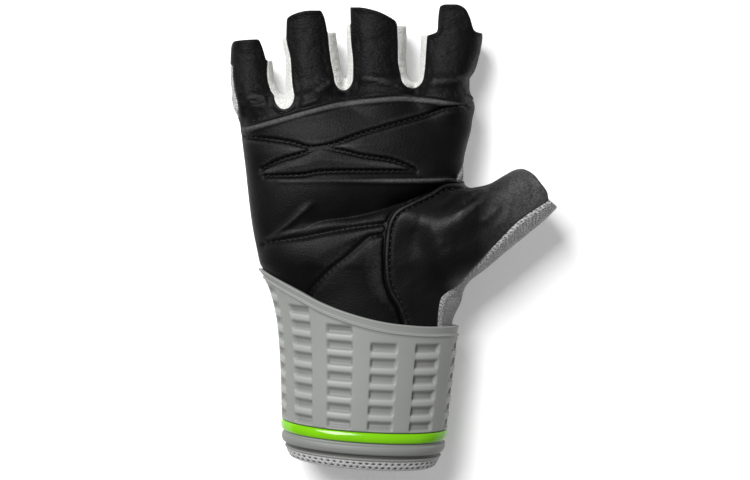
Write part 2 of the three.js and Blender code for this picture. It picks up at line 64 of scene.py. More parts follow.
# A smooth curve through the rows of a table, with no overshoot
def curveReader(at, values, count=600):
    at, values = np.array(at, float), np.array(values, float)
    gaps = np.diff(at)
    slopes = np.diff(values) / gaps
    bends = np.zeros(len(at))
    bends[0], bends[-1] = slopes[0], slopes[-1]
    for i in range(1, len(at) - 1):
        if slopes[i - 1] * slopes[i] > 0:
            w1 = 2 * gaps[i] + gaps[i - 1]
            w2 = gaps[i] + 2 * gaps[i - 1]
            bends[i] = (w1 + w2) / (w1 / slopes[i - 1] + w2 / slopes[i])
    dense = np.linspace(at[0], at[-1], count)
    i = np.clip(np.searchsorted(at, dense, side="right") - 1, 0, len(gaps) - 1)
    t = (dense - at[i]) / gaps[i]
    read = values[i] * (1 + 2 * t) * (1 - t) ** 2 + bends[i] * gaps[i] * t * (1 - t) ** 2
    read += values[i + 1] * t * t * (3 - 2 * t) + bends[i + 1] * gaps[i] * t * t * (t - 1)
    return lambda value: np.interp(value, dense, read)


def tableReader(rows):
    return curveReader(*np.array(rows, float).T)


# How far along a row of points each of them lies
def runAlong(points):
    return np.concatenate([[0], np.cumsum(np.hypot(*np.diff(points, axis=0).T))])


# A row of points read elsewhere along it, with bends or straight between them
def curvedAt(points, run, where):
    return np.stack([curveReader(run, column)(where) for column in points.T], axis=-1)


def straightAt(points, run, where):
    return np.stack([np.interp(where, run, column) for column in points.T], axis=-1)


# A line through points, redrawn smoothly with even steps
def evenLine(points, step=1.2):
    points = np.array(points, float)
    run = runAlong(points)
    count = max(int(run[-1] / step), 2)
    return curvedAt(points, run, np.linspace(0, run[-1], count + 1))


# A profile with even steps, straight between its points
def evenProfile(table, count):
    table = np.array(table)
    run = runAlong(table)
    return straightAt(table, run, np.linspace(0, run[-1], count))


# The hand's tubes: y, left edge, right edge, lowest and highest point of each section
handShape = {
    # along the hand, rounder inside the sleeve
    "bodyRoundness": [(-56, 2.15), (-26, 2.15), (-6, 2.3), (6, 2.4), (80, 2.4)],
    "fingerRoundness": 2.3,
    "seamHeight": 16.5,
    "body": [
        (-56, -46.0, 24.6, 3.7, 38.8), (-48, -46.6, 25.2, 3.7, 38.9), (-36.5, -48.1, 26.8, 3.6, 39.2),
        (-26, -49.8, 31, 3.6, 39.6), (-19, -53.4, 31.8, 3.6, 39.9), (-14, -56.6, 32, 3.4, 40.4),
        (-11, -58.4, 32, 2.2, 41), (-6, -59.6, 32, 1, 41.4), (4, -61.6, 32, -0.4, 41.6),
        (14, -63, 31.6, -0.8, 41.4), (34, -65.3, 31.6, -0.8, 39.6), (42, -66.4, 33.3, -0.8, 38),
        (50, -67.5, 35.2, -0.6, 35.8), (57, -69, 35.8, -0.2, 33), (61, -69.8, 35.3, 0, 30.5)],
    "fingers": [
        [(48, -66.4, -44, 1.5, 31), (57, -69.7, -45.1, 0.4, 30), (61.8, -70.6, -47.1, 0.6, 28.5),
         (65.3, -71.5, -49.9, 1, 27.5), (71.9, -72.3, -52.4, 1.6, 26), (78.5, -72.4, -53.2, 2.2, 25),
         (89.5, -72.2, -54.2, 2.6, 24.4)],
        [(48, -47, -18.6, 1.5, 34.6), (62.3, -47.1, -18.8, 0.6, 31.5), (68.9, -47.7, -20.8, 1.2, 29.5),
         (78.5, -47.7, -23.1, 2, 28), (87.3, -49.1, -24.4, 2.6, 27), (102.5, -49.5, -26, 3, 26.4)],
        [(48, -21.5, 11, 1.5, 35.4), (62, -21.8, 11.6, 0.6, 32.5), (67.6, -20.9, 10.8, 1, 31),
         (70.4, -20.3, 7.9, 1.3, 30.2), (78.5, -20, 6.4, 2, 29), (87.3, -20.5, 6.6, 2.6, 28),
         (104, -20.6, 6.2, 3, 27.4)],
        [(48, 8, 34, 1.5, 33.4), (57, 8, 35.9, 0.4, 33), (67.6, 9, 34.4, 1, 30.4),
         (70.4, 11.4, 34.4, 1.3, 29.8), (74.1, 12.1, 36.7, 1.6, 29), (82.9, 12.3, 39.4, 2.2, 28),
         (90, 12.5, 40.5, 2.6, 27.5), (105, 13, 41, 3, 27)]],
    # upper edge x and y, lower edge x and y, lowest, highest
    "thumb": [
        (0, 4.6, 14.3, -28, 3.6, 40.5), (16.5, 14.7, 27.5, -22.5, 2.5, 44.6),
        (30.6, 21.3, 38.5, -15.6, 6, 43.6), (42, 23.8, 49.5, -6.4, 10, 41.6),
        (48.6, 27.5, 59.2, 1.5, 13, 40.4), (53.5, 30.1, 67.1, 8.1, 15, 39.8),
        (56.5, 30.8, 72.8, 13.9, 16, 39.4), (60.5, 33.6, 76.6, 17.6, 17, 39.2),
        (68.5, 41.6, 84.6, 25.6, 17, 39.2)],
    # how far the finger tubes run on past the mouths, so no panel meets their flat ends
    "runOn": 6,
    # how softly the tubes join: finger to finger, fingers to body and thumb to body
    "blends": (3.2, 5, 5),
}


def tubeReaders(rows):
    table = np.array(rows, float)
    return [curveReader(table[:, 0], table[:, c]) for c in range(1, 5)], table[0, 0], table[-1, 0]


bodyTube = tubeReaders(handShape["body"])
bodyRoundness = tableReader(handShape["bodyRoundness"])
fingerTubes = []
for rows in handShape["fingers"]:
    readers, start, end = tubeReaders(rows)
    fingerTubes.append((readers, start, end + handShape["runOn"]))
thumbTable = np.array(handShape["thumb"], float)
thumbSteps = np.linspace(0, len(thumbTable) - 1, 56)
thumbReaders = [curveReader(np.arange(len(thumbTable)), column) for column in thumbTable.T]
thumbRows = np.stack([read(thumbSteps) for read in thumbReaders], axis=1)


def sectionDistance(across, up, half, tall, roundness):
    u = np.abs(across) / half
    w = np.abs(up) / tall
    f = np.maximum((u ** roundness + w ** roundness) ** (1 / roundness), 1e-3)
    slope = np.hypot((u / f) ** (roundness - 1) / half, (w / f) ** (roundness - 1) / tall)
    return (f - 1) / slope


def tubeDistance(x, y, z, tube, roundness):
    (left, right, low, high), start, end = tube
    l, r, b, t = left(y), right(y), low(y), high(y)
    d = sectionDistance(x - (l + r) / 2, z - (b + t) / 2, (r - l) / 2, (t - b) / 2, roundness)
    return np.maximum(d, np.maximum(start - y, y - end))


def thumbDistance(x, y, z):
    middle = (thumbRows[:, 0:2] + thumbRows[:, 2:4]) / 2
    side = thumbRows[:, 2:4] - thumbRows[:, 0:2]
    width = np.hypot(*side.T)
    side = side / width[:, None]
    ahead = np.stack([-side[:, 1], side[:, 0]], axis=1)
    out = np.full(len(x), 40.0)
    for first in range(0, len(x), 60000):
        s = slice(first, first + 60000)
        e = (x[s, None] - middle[:, 0]) * ahead[:, 0] + (y[s, None] - middle[:, 1]) * ahead[:, 1]
        i = np.clip((e > 0).sum(axis=1) - 1, 0, len(middle) - 2)
        n = np.arange(len(i))
        t = np.clip(e[n, i] / (e[n, i] - e[n, i + 1]), 0, 1)
        m = middle[i] + (middle[i + 1] - middle[i]) * t[:, None]
        a = side[i] + (side[i + 1] - side[i]) * t[:, None]
        half = (width[i] + (width[i + 1] - width[i]) * t) / 2
        low = thumbRows[i, 4] + (thumbRows[i + 1, 4] - thumbRows[i, 4]) * t
        high = thumbRows[i, 5] + (thumbRows[i + 1, 5] - thumbRows[i, 5]) * t
        across = (x[s] - m[:, 0]) * a[:, 0] + (y[s] - m[:, 1]) * a[:, 1]
        up = z[s] - (low + high) / 2
        d = sectionDistance(across, up, half, (high - low) / 2, handShape["fingerRoundness"])
        d = d + 5 * (1 - smoothstep(e[:, 0], 0, 16))    # the tube's start sinks into the hand
        out[s] = np.maximum(d, np.maximum(-e[:, 0], e[:, -1]))
    return out


# Distance from the outside of the hand: below zero inside
def handDistance(p):
    x, y, z = p[:, 0], p[:, 1], p[:, 2]
    betweenFingers, atFingers, atThumb = handShape["blends"]
    total = tubeDistance(x, y, z, bodyTube, bodyRoundness(y))
    near = y > 40
    if near.any():
        fx, fy, fz = x[near], y[near], z[near]
        together = np.full(len(fx), 40.0)
        for tube in fingerTubes:
            finger = tubeDistance(fx, fy, fz, tube, handShape["fingerRoundness"])
            together = smoothMin(together, finger, betweenFingers)
        together += 6 * (1 - smoothstep(fy, 46, 60))    # the tubes' starts sink into the hand
        total[near] = smoothMin(total[near], together, atFingers)
    near = (x > -14) & (y > -44) & (y < 56)
    if near.any():
        total[near] = smoothMin(total[near], thumbDistance(x[near], y[near], z[near]), atThumb)
    return smoothMax(total, -z, 2.5)


def gradient(function, p, step=0.15):
    out = np.empty_like(p)
    for axis in range(3):
        q = p.copy()
        q[:, axis] += step
        ahead = function(q)
        q[:, axis] -= 2 * step
        out[:, axis] = (ahead - function(q)) / (2 * step)
    return out


def unit(v):
    return v / np.maximum(np.linalg.norm(v, axis=1), 1e-9)[:, None]


# Where a point is seen from the camera, on the plane that the pattern is drawn on
def asSeen(p):
    scale = (camera["height"] - camera["plane"]) / (camera["height"] - p[:, 2])
    return camera["x"] + (p[:, 0] - camera["x"]) * scale, camera["y"] + (p[:, 1] - camera["y"]) * scale


print("stage: pattern")
patternStep = 0.4
patternX = np.arange(-88, 96, patternStep)
patternY = np.arange(-60, 116, patternStep)
gridX, gridY = np.meshgrid(patternX, patternY)


def readPattern(grid, x, y):
    u = np.clip((x - patternX[0]) / patternStep, 0, len(patternX) - 1.001)
    v = np.clip((y - patternY[0]) / patternStep, 0, len(patternY) - 1.001)
    i, j = u.astype(int), v.astype(int)
    s, t = u - i, v - j
    top = grid[j, i] * (1 - s) + grid[j, i + 1] * s
    return top * (1 - t) + (grid[j + 1, i] * (1 - s) + grid[j + 1, i + 1] * s) * t


def readSeen(grid, p):
    return readPattern(grid, *asSeen(p))


# Distance to a line over the pattern, and how far along it
def lineField(line):
    best = np.full(gridX.shape, 1e9)
    along = np.zeros(gridX.shape)
    run = 0.0
    for a, b in zip(line[:-1], line[1:]):
        d = b - a
        length = np.hypot(*d)
        if length < 1e-6:
            continue
        t = np.clip(((gridX - a[0]) * d[0] + (gridY - a[1]) * d[1]) / length ** 2, 0, 1)
        away = np.hypot(gridX - a[0] - t * d[0], gridY - a[1] - t * d[1])
        closer = away < best
        best[closer] = away[closer]
        along[closer] = (run + t * length)[closer]
        run += length
    return best, along


# Signed distance to a closed outline: below zero inside
def outlineField(points):
    points = np.array(points, float)
    ring = np.concatenate([points, points[:1]])
    away = lineField(ring)[0]
    inside = np.zeros(gridX.shape, bool)
    for a, b in zip(ring[:-1], ring[1:]):
        crosses = (a[1] > gridY) != (b[1] > gridY)
        if a[1] != b[1]:
            inside ^= crosses & (gridX < (b[0] - a[0]) * (gridY - a[1]) / (b[1] - a[1]) + a[0])
    return np.where(inside, -away, away)


# Edges of the panels as seen from above
pattern = {
    "crotch": [(33.5, 42), (32, 34.5), (30, 30), (28.6, 27), (29.3, 25.4), (33, 26)],
    "thumbRim": [(56, 31.4), (61.8, 28.6), (65.3, 24.6), (68.4, 19.8), (68.8, 16.7)],
    "thumbLower": [(68.8, 16.7), (56.1, 8.1), (47.3, -0.7), (38.5, -10.3), (29.7, -20), (21.3, -27),
                   (20, -38), (20, -58)],
    "thumbRimBack": [(52.5, 32.7), (62.8, 22.6), (72.7, 13.8), (80, 7)],
    "thenar": [(33, 24.6), (24, 24.2), (16.5, 20.3), (7.6, 16), (3.2, 13.8), (0, 10.8), (-2.3, 5.6),
               (-3.2, -1), (-3.6, -9), (-3.2, -17.5), (-1.2, -24), (3, -31.5), (7, -48), (7.5, -58)],
    "tabs": [
        [(-71.6, 76.5), (-71.1, 84.3), (-69.7, 86.9), (-59.2, 87.8), (-57.4, 84.7), (-55.6, 78.7)],
        [(-46.9, 88.4), (-46.6, 96.4), (-44.7, 98.3), (-36.3, 100.5), (-31.9, 100.5), (-29.7, 96.6),
         (-28.6, 91)],
        [(-18.5, 94.5), (-18.7, 101.9), (-15.2, 101.9), (-7.7, 100.5), (-1.1, 97.5), (1.5, 95.6),
         (2.4, 93.6)],
        [(15.2, 89.3), (19.6, 91.4), (20.1, 98.3), (20.9, 102.2), (23.5, 103.2), (27.9, 103.2), (31.9, 101.4),
         (34.1, 97.5), (36.3, 91.4), (43, 89.8)]],
    "rims": [(75.9, 78.5), (88.2, 90.9), (94.4, 93.5), (89.6, 89.1)],
    # y of the bottom of each gap, then how far its strip comes round each finger, at the top and low down
    "gaps": [(57, 1.7, 4, 2.2, 3.8), (65.3, 3.6, 4.2, 1.8, 2.8), (66.2, 4.4, 3.7, 2.7, 1.9)],
    "gapBend": 6,
    "cuffEdge": [(-60, -12.6), (-49.5, -18.5), (-40.7, -23), (-31.9, -27.4), (-18.7, -32.2), (-5.5, -35.6),
                 (3.3, -37), (19.6, -38.2), (34, -38.2)],
}
readCuffEdge = tableReader(pattern["cuffEdge"])


def gapOutline(index):
    y, leftTop, leftLow, rightTop, rightLow = pattern["gaps"][index]
    before, after = fingerTubes[index][0], fingerTubes[index + 1][0]
    bend = pattern["gapBend"]
    leftRim, rightRim = pattern["rims"][index][1], pattern["rims"][index + 1][0]
    t = np.linspace(0, 1, 9)
    yLeft = leftRim + (y + bend - leftRim) * t
    yRight = rightRim + (y + bend - rightRim) * t
    left = np.stack([before[1](yLeft) - leftTop - (leftLow - leftTop) * t, yLeft], axis=1)
    right = np.stack([after[0](yRight) + rightTop + (rightLow - rightTop) * t, yRight], axis=1)
    turn = np.linspace(0, np.pi, 14)[1:-1]
    a, b = left[-1, 0], right[-1, 0]
    across = (a + b) / 2 - (b - a) / 2 * np.cos(turn)
    bottom = np.stack([across, y + bend - bend * np.sin(turn)], axis=1)
    top = [[left[0][0], leftRim + 12]]
    end = [[right[0][0], rightRim + 12]]
    return np.concatenate([top, left, bottom, right[::-1], end])


def frontOutline(index):
    leftRim, rightRim = pattern["rims"][index]
    tube = fingerTubes[index][0]
    inset = 1.9 if index == 0 else -1.5
    outer = 6 if index == 3 else 1.5
    y = np.linspace(50, leftRim, 6)
    left = np.stack([tube[0](y) + inset, y], axis=1)
    y = np.linspace(rightRim, 50, 6)
    right = np.stack([tube[1](y) + outer, y], axis=1)
    return np.concatenate([left, evenLine(pattern["tabs"][index], 0.8), right])


gapFields = [outlineField(gapOutline(i)) for i in range(3)]
# the palm's leather without the finger fronts; it runs well past the hand where nothing bounds it
mainOutline = [[-120, -70], [-120, 46], [-72, 50], [-67.7, 54], [-67.9, 57.5], [-68.4, 60]]
mainOutline += [[120, 60], [120, 44]] + evenLine(pattern["crotch"]).tolist() + [[42, 34], [52, 38]]
mainOutline += evenLine(pattern["thumbRim"]).tolist() + evenLine(pattern["thumbLower"])[1:].tolist()
leatherField = outlineField(mainOutline + [[20, -70]])
for index in range(4):
    leatherField = np.minimum(leatherField, outlineField(frontOutline(index)))
for field in gapFields:
    leatherField = np.maximum(leatherField, -field)
thenarLine = evenLine(pattern["thenar"])
thumbField = outlineField([[120, 60], [52, 60], [34.5, 28]] + thenarLine.tolist() + [[7, -80], [120, -80]])
backRims = []
for rows, (leftRim, rightRim) in zip(handShape["fingers"], pattern["rims"]):
    backRims += [[rows[-1][1] - 1.2, leftRim], [rows[-1][2] + 1.2, rightRim]]
backField = outlineField([[-120, -70], [-120, 75.9]] + backRims + [[60, 88.5], [52, 60], [48, 44]]
                         + evenLine(pattern["thumbRimBack"]).tolist() + [[120, -70]])
cuffField = readCuffEdge(gridX) - 6 - gridY
gapField = np.minimum(np.minimum(gapFields[0], gapFields[1]), gapFields[2])


# Repeatable soft noise over the pattern
def waves(seed, size, turn=0.0, stretch=1.0):
    random = np.random.default_rng(seed)
    lattice = random.random((256, 256))
    c, s = np.cos(turn), np.sin(turn)
    u = (gridX * c + gridY * s) / (size * stretch) + 100
    v = (gridY * c - gridX * s) / size + 100
    i, j = np.floor(u).astype(int), np.floor(v).astype(int)
    a, b = u - i, v - j
    a, b = a * a * (3 - 2 * a), b * b * (3 - 2 * b)
    i, j = i % 255, j % 255
    low = lattice[j, i] * (1 - a) + lattice[j, i + 1] * a
    return (low * (1 - b) + (lattice[j + 1, i] * (1 - a) + lattice[j + 1, i + 1] * a) * b) * 2 - 1


# Waves added up from rows: height, seed, size, turn and stretch
def manyWaves(rows):
    return sum(height * waves(*row) for height, *row in rows)


# The quilting of the palm: seams, folds and puffed pads, as seen from above
quilting = {
    "puff": 1.2,
    "puffReach": 4.2,
    "seamDepth": 1.25,
    "seamWidth": 0.9,
    "stitchPitch": 2.5,
    "upperEdge": [(-66.7, 48.6), (-53.9, 52.1), (-36.3, 57), (-23.1, 60.1), (-9.9, 61.8), (3.3, 62.7),
                  (16.5, 61.8), (25.3, 60.5), (33, 58.6)],
    "leftSeam": [(-66.7, 44.7), (-58.3, 44.2), (-45.1, 42.5), (-36.3, 40.3), (-32.8, 40.3), (-23.1, 38.9),
                 (-14.3, 36.7), (-1.1, 34.6), (5, 32.6), (9, 30.8)],
    "risingSeam": [(-57.4, 30.6), (-49.5, 34.5), (-40.7, 37.2), (-32.8, 40.3), (-25.3, 42), (-14.3, 46),
                   (-1.1, 49.9), (12.1, 53.5), (25.3, 57.4), (33.2, 58.3)],
    "middleSeam": [(-56.1, 27.5), (-40.7, 27.9), (-31.9, 29.3), (-18.7, 29.7), (9.9, 29.7)],
    "crest": [(-49.5, 25.3), (-27.5, 25.3), (-5.5, 25.3), (16.5, 25.4), (27.9, 25.6)],
    "valley": [(-52, 1.5), (-49.5, 2.9), (-40.7, 4.2), (-31.9, 7.3), (-18.7, 9.5), (-5.5, 12.5), (3.3, 15.6),
               (16.5, 20), (26.2, 24.2)],
    # x and depth
    "valleyDepth": [(-62, 0), (-54, 1.4), (-46, 2.4), (-34, 3.8), (-20, 4.9), (0, 5.2), (14, 4.2), (26, 2.0),
                    (33, 0.5)],
    "heelSeam": [(-57.4, -2.9), (-49.5, -1.1), (-40.7, 0.2), (-27.5, 2.9), (-14.3, 5.1), (-3.3, 6.4)],
    "fallingSeam": [(-3.3, 2), (-9.9, 0.7), (-14.3, -2.9), (-20.9, -8.6), (-27.5, -13.9), (-31.9, -18.3),
                    (-36.3, -23.5), (-38.9, -29.7)],
    # fold lines: points, height and half width
    "folds": [
        ([(-58, -1), (-51, 3), (-45.1, 7.3), (-39.4, 12.5), (-32.5, 17)], 0.75, 1.5),
        ([(-58, -3), (-48, 1.8), (-38, 5.0), (-28, 6.6), (-16, 8.2)], 0.6, 1.6),
        ([(-19, 69.2), (-12, 70.5), (-5, 69.6), (2, 67.4), (8, 64.6), (14, 63.4)], 1.3, 2.5),
        ([(-45, 60.6), (-38, 62.4), (-32, 65.6), (-26, 69.6), (-22, 73)], 1.3, 2.9),
        ([(-43, 57.6), (-37, 59.6), (-30, 62.4)], 0.7, 1.5),
        ([(12, 66.0), (20, 69.2), (28, 69.8), (37, 72.5)], 1.5, 2.8),
        ([(-66, 60), (-60, 62.5), (-54, 61)], 0.7, 2.0),
        ([(27.5, 63.5), (33.3, 66)], -0.6, 1.8),
    ],
    # seams without a pucker of their own: depth and half width
    "softSeams": {"heelSeam": (0.7, 1.2), "fallingSeam": (0.6, 1.3)},
    # the pads' raised upper edge, and how deep the leather steps down behind it
    "edgeHeight": 0.8,
    "edgeStep": 1.5,
    # the main crease's crest: height at the left, what is added at the right, half width
    "crestShape": (0.3, 1.3, 1.2),
    "thenarDip": 1.5,
    # rows of height, seed, size, turn and stretch
    "broadWaves": [(0.12, 3, 5.5, 0.5, 1.6), (0.25, 5, 13)],
    "crumples": [(0.12, 6, 3.4, 0.35, 1.8), (0.08, 7, 2.1, -0.5, 1.5), (0.06, 8, 1.3)],
    "creases": [(1, 9, 4.6, 0.6, 1.5), (0.35, 10, 2.0)],
    "creaseDepth": 0.2,
    # how much is painted paler: ridges, from wear and painted light, and painted highlights on the pads'
    # upper edge and on the crest
    "ridgeWearAndLight": 0.5,
    "edgeHighlight": 1.0,
    "crestHighlight": 0.8,
    # paler places of the heel: x, y, half width, half height, how much
    "paleSpots": [(-4.5, -14, 8, 14, 0.24), (-27, -7, 11, 6, 0.14)],
}
thumbFolds = [
    # points, height and half width
    ([(26.2, 9), (31.9, 11.7), (37.6, 15.6), (42.9, 18.7)], 0.9, 1.8),
    ([(37.6, 6.4), (43.8, 10.8), (48.6, 15.6)], 0.7, 1.6),
    ([(33, 18), (38, 20.6), (43, 21.2)], 0.6, 1.4),
    ([(31, 14.6), (36, 18.2)], -0.6, 1.3),
    ([(50, 22), (54, 27)], 0.4, 1.5),
    ([(44, 3), (50, 9.5), (53, 14)], 0.45, 1.7),
    ([(-1, 10), (10, 9.5), (22, 9.5), (34, 12.5), (44, 16)], 1.2, 4.4),
    ([(-3, 7.5), (8, 6.5), (19, 5.5), (30, 7.5), (42, 12)], 1.5, 6.0),
]
thumbWaves = [(0.2, 13, 6.5, 0.9, 1.8), (0.1, 14, 2.8, 0.8, 1.6), (0.3, 15, 15)]
seamLines = {name: evenLine(quilting[name], 1.0) for name in
             ("upperEdge", "leftSeam", "risingSeam", "middleSeam", "heelSeam", "fallingSeam")}
seamFields = {name: lineField(line) for name, line in seamLines.items()}
thenarAway, thenarAlong = lineField(thenarLine)


def sewn(name, depth, width):
    away, along = seamFields[name]
    pucker = 1 + 0.16 * np.cos(2 * np.pi * along / quilting["stitchPitch"])
    return -depth * pucker * ridge(away, width)


# A soft copy of a pattern grid
def softened(grid, width):
    reach = int(3 * width / patternStep)
    kernel = np.exp(-0.5 * (np.arange(-reach, reach + 1) * patternStep / width) ** 2)
    kernel = kernel / kernel.sum()

    def softLine(line):
        return np.convolve(np.pad(line, reach, "edge"), kernel, "valid")

    return np.apply_along_axis(softLine, 1, np.apply_along_axis(softLine, 0, grid))


def foldRelief(folds):
    total = np.zeros(gridX.shape)
    for points, height, width in folds:
        line = evenLine(points, 1.0)
        away, along = lineField(line)
        length = runAlong(line)[-1]
        ends = smoothstep(along, -0.01, length * 0.3) * (1 - smoothstep(along, length * 0.7, length))
        total += height * ends * ridge(away, width)
    return total


# puffed pads between the seams; the fingers are flatter
padSeams = ("leftSeam", "risingSeam", "middleSeam", "heelSeam", "fallingSeam")
nearest = np.minimum.reduce([seamFields[name][0] for name in padSeams] + [thenarAway])
puff = quilting["puff"] * (1 - np.exp(-nearest / quilting["puffReach"])) - 0.9
edgeY = tableReader(quilting["upperEdge"])(gridX)
pastEdge = gridY - edgeY
fingerPart = smoothstep(pastEdge, 0, 6)
palmRelief = puff * (1 - fingerPart) - 0.3 * fingerPart
# the pads' raised upper edge, and the step down behind it
palmRelief += quilting["edgeHeight"] * ridge(pastEdge + 1.4, 1.3) * (1 - smoothstep(gridX, 24, 34))
palmRelief -= quilting["edgeStep"] * smoothstep(pastEdge, -1.0, 1.4) * np.exp(-np.maximum(pastEdge, 0) / 8)
# seams and folds
for seam in ("leftSeam", "risingSeam", "middleSeam"):
    palmRelief += sewn(seam, quilting["seamDepth"], quilting["seamWidth"])
for seam, (depth, width) in quilting["softSeams"].items():
    palmRelief += sewn(seam, depth, width)
palmRelief += foldRelief(quilting["folds"])
# the palm's main crease: a crest with a valley below it
crestAway = lineField(evenLine(quilting["crest"], 1.0))[0]
crestLeft, crestGain, crestWidth = quilting["crestShape"]
palmRelief += (crestLeft + crestGain * smoothstep(gridX, -30, 6)) * ridge(crestAway, crestWidth)
crestY = tableReader(quilting["crest"])(gridX)
valleyY = tableReader(quilting["valley"])(gridX)
valleyDepth = tableReader(quilting["valleyDepth"])(gridX)
reach = np.maximum(crestY - valleyY, 3.5)
north = np.clip((gridY - valleyY) / reach, 0, 1)
valleyRelief = np.where(gridY > valleyY, (1 - north) ** 1.15, np.exp(-np.maximum(valleyY - gridY, 0) / 4.2))
valleyRelief = -valleyDepth * valleyRelief
palmRelief -= quilting["thenarDip"] * np.exp(-thenarAway / 1.7)
# soft waves everywhere, crumples and creases on the fingers
palmRelief += manyWaves(quilting["broadWaves"]) * (0.5 + 0.8 * fingerPart)
palmRelief += manyWaves(quilting["crumples"]) * (0.1 + 0.9 * fingerPart)
creased = quilting["creaseDepth"] * fingerPart * smoothstep(waves(11, 8), -0.2, 0.4)
palmRelief -= creased * ridge(manyWaves(quilting["creases"]), 0.1)
# flat along its edges
leatherEdge = smoothstep(-leatherField, 0.2, 3.0)
palmRelief = palmRelief * leatherEdge + 0.1 * (1 - leatherEdge)
# the thumb's seam is a ridge with a sewn channel behind it
seamShare = (0.45 + 0.55 * smoothstep(thenarAlong, 8, 26)) * (1 - 0.8 * smoothstep(thenarAlong, 58, 72))
thumbRelief = 0.8 * seamShare * ridge(thenarAway - 1.1, 1.0) - 0.55 * ridge(thenarAway - 2.7, 0.7)
thumbRelief += foldRelief(thumbFolds) + manyWaves(thumbWaves)


# Ridges of the leather are painted paler, part wear and part painted light; creases stay black
def ridgeWearAndLight(relief):
    return quilting["ridgeWearAndLight"] * np.clip((relief - softened(relief, 1.6)) / 0.5, -1, 1)


palmWearAndLight = ridgeWearAndLight(palmRelief)
edgeHighlightShare = (1 - smoothstep(gridX, 18, 30)) * smoothstep(gridX, -72, -50)
# painted highlights along the pads' upper edge and along the crest
palmWearAndLight += quilting["edgeHighlight"] * ridge(pastEdge + 1.1, 0.8) * edgeHighlightShare
palmWearAndLight += quilting["crestHighlight"] * ridge(crestAway, 0.7) * smoothstep(gridX, -12, 2)
for spotX, spotY, spotWidth, spotHeight, wearAndLight in quilting["paleSpots"]:
    off = ((gridX - spotX) / spotWidth) ** 2 + ((gridY - spotY) / spotHeight) ** 2
    palmWearAndLight += wearAndLight * np.exp(-off ** 2)
thumbWearAndLight = ridgeWearAndLight(thumbRelief)


def seamHeight(x, y):
    return handShape["seamHeight"] + 10 * smoothstep(x, 22, 62) - 2 * smoothstep(y, 45, 80)


voxel = {"step": 1.0, "low": (-79, -56, -4), "high": (87, 112, 50), "fineAbove": 6.5}
print("stage: hand form")
axes = [np.arange(a, b, voxel["step"]) for a, b in zip(voxel["low"], voxel["high"])]
gridPoints = np.stack(np.meshgrid(*axes, indexing="ij"), axis=-1).reshape(-1, 3)
handGrid = handDistance(gridPoints)


def surfaceOf(values):
    grid = openvdb.FloatGrid(3.0)
    grid.copyFromArray(np.clip(values, -3, 3).reshape([len(a) for a in axes]).astype(np.float32))
    points, quads = grid.convertToQuads(isovalue=0.0)
    return np.array(points, float) * voxel["step"] + np.array(voxel["low"], float), np.array(quads, int)


# Splits the chosen quads in four; a neighbour keeps its shape and takes the new corners
def splitQuads(points, quads, chosen):
    corners = np.stack([quads, np.roll(quads, -1, axis=1)], axis=2)
    ordered = np.sort(corners, axis=2).reshape(-1, 2)
    edges, which = np.unique(ordered, axis=0, return_inverse=True)
    which = which.reshape(-1, 4)
    split = np.zeros(len(edges), bool)
    split[which[chosen].ravel()] = True
    number = np.full(len(edges), -1)
    number[split] = len(points) + np.arange(split.sum())
    middles = points[edges[split]].mean(axis=1)
    centres = points[quads[chosen]].mean(axis=1)
    first = len(points) + len(middles)
    centre = first + np.arange(len(centres))
    picked, mids = quads[chosen], number[which[chosen]]
    small = [np.stack([picked[:, k], mids[:, k], centre, mids[:, k - 1]], axis=1) for k in range(4)]
    faces = [tuple(f) for f in np.concatenate(small)]
    touched = (number[which] >= 0).any(axis=1)
    for f in quads[~chosen & ~touched]:
        faces.append(tuple(f))
    for q in np.nonzero(~chosen & touched)[0]:
        ring = []
        for k in range(4):
            ring.append(quads[q, k])
            if number[which[q, k]] >= 0:
                ring.append(number[which[q, k]])
        faces.append(tuple(ring))
    return np.concatenate([points, middles, centres]), faces


def toFrame(points):
    moved = np.array(points, float)
    moved[:, 0] -= place["shiftX"]
    moved[:, 1] -= place["shiftY"]
    return moved / 1000


def makePiece(name, points, faces, finish, cloth=None):
    mesh = bpy.data.meshes.new(name)
    mesh.from_pydata(toFrame(points).tolist(), [], [[int(i) for i in f] for f in faces])
    mesh.polygons.foreach_set("use_smooth", [True] * len(mesh.polygons))
    if cloth is not None:
        layer = mesh.attributes.new("cloth", "FLOAT_VECTOR", "POINT")
        layer.data.foreach_set("vector", np.ascontiguousarray(cloth, dtype=np.float32).ravel())
    mesh.materials.append(finish)
    mesh.update()
    piece = bpy.data.objects.new(name, mesh)
    bpy.context.scene.collection.objects.link(piece)
    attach(piece, "root")
    print("  piece", name, len(points), "points,", sum(len(f) - 2 for f in faces), "triangles")
    return piece


# A panel of the hand: a shell of the piece's thickness inside its region, with its relief
def handPanel(look, region, relief, bodyRelief, tuck=None):
    thickness, sink = look["thickness"], look["sink"]

    def field(p, d=None):
        d = handDistance(p) if d is None else d
        d = d + sink
        shell = np.abs(d + thickness / 2) - thickness / 2
        return smoothMax(shell, region(p), 0.7)

    points, quads = surfaceOf(field(gridPoints, handGrid))
    middle = points[quads].mean(axis=1)
    # the flat underside and the inside keep the coarse mesh
    outer = (handDistance(middle) > -thickness * 0.6 - sink) & (middle[:, 2] > voxel["fineAbove"])
    points, faces = splitQuads(points, quads, outer)
    # the new corners are moved on to the exact surface
    for turn in range(3):
        value = field(points)
        slope = gradient(field, points)
        size = np.maximum((slope ** 2).sum(axis=1), 0.25)
        move = -(value / size)[:, None] * slope
        length = np.linalg.norm(move, axis=1)
        points = points + move * np.minimum(1, 0.5 / np.maximum(length, 1e-9))[:, None]
    d = handDistance(points) + sink
    normal = unit(gradient(handDistance, points, 0.4))
    facing = smoothstep(normal[:, 2], -0.05, 0.5)
    x, y = asSeen(points)
    share = smoothstep(d, -thickness * 0.9, -thickness * 0.3)
    lift = readPattern(relief, x, y) * share * facing + readPattern(bodyRelief, x, y) * facing
    if tuck is not None:
        lift = lift - 0.75 * smoothstep(tuck(points), -0.3, 0.6) * share
    return points + normal * lift[:, None], faces


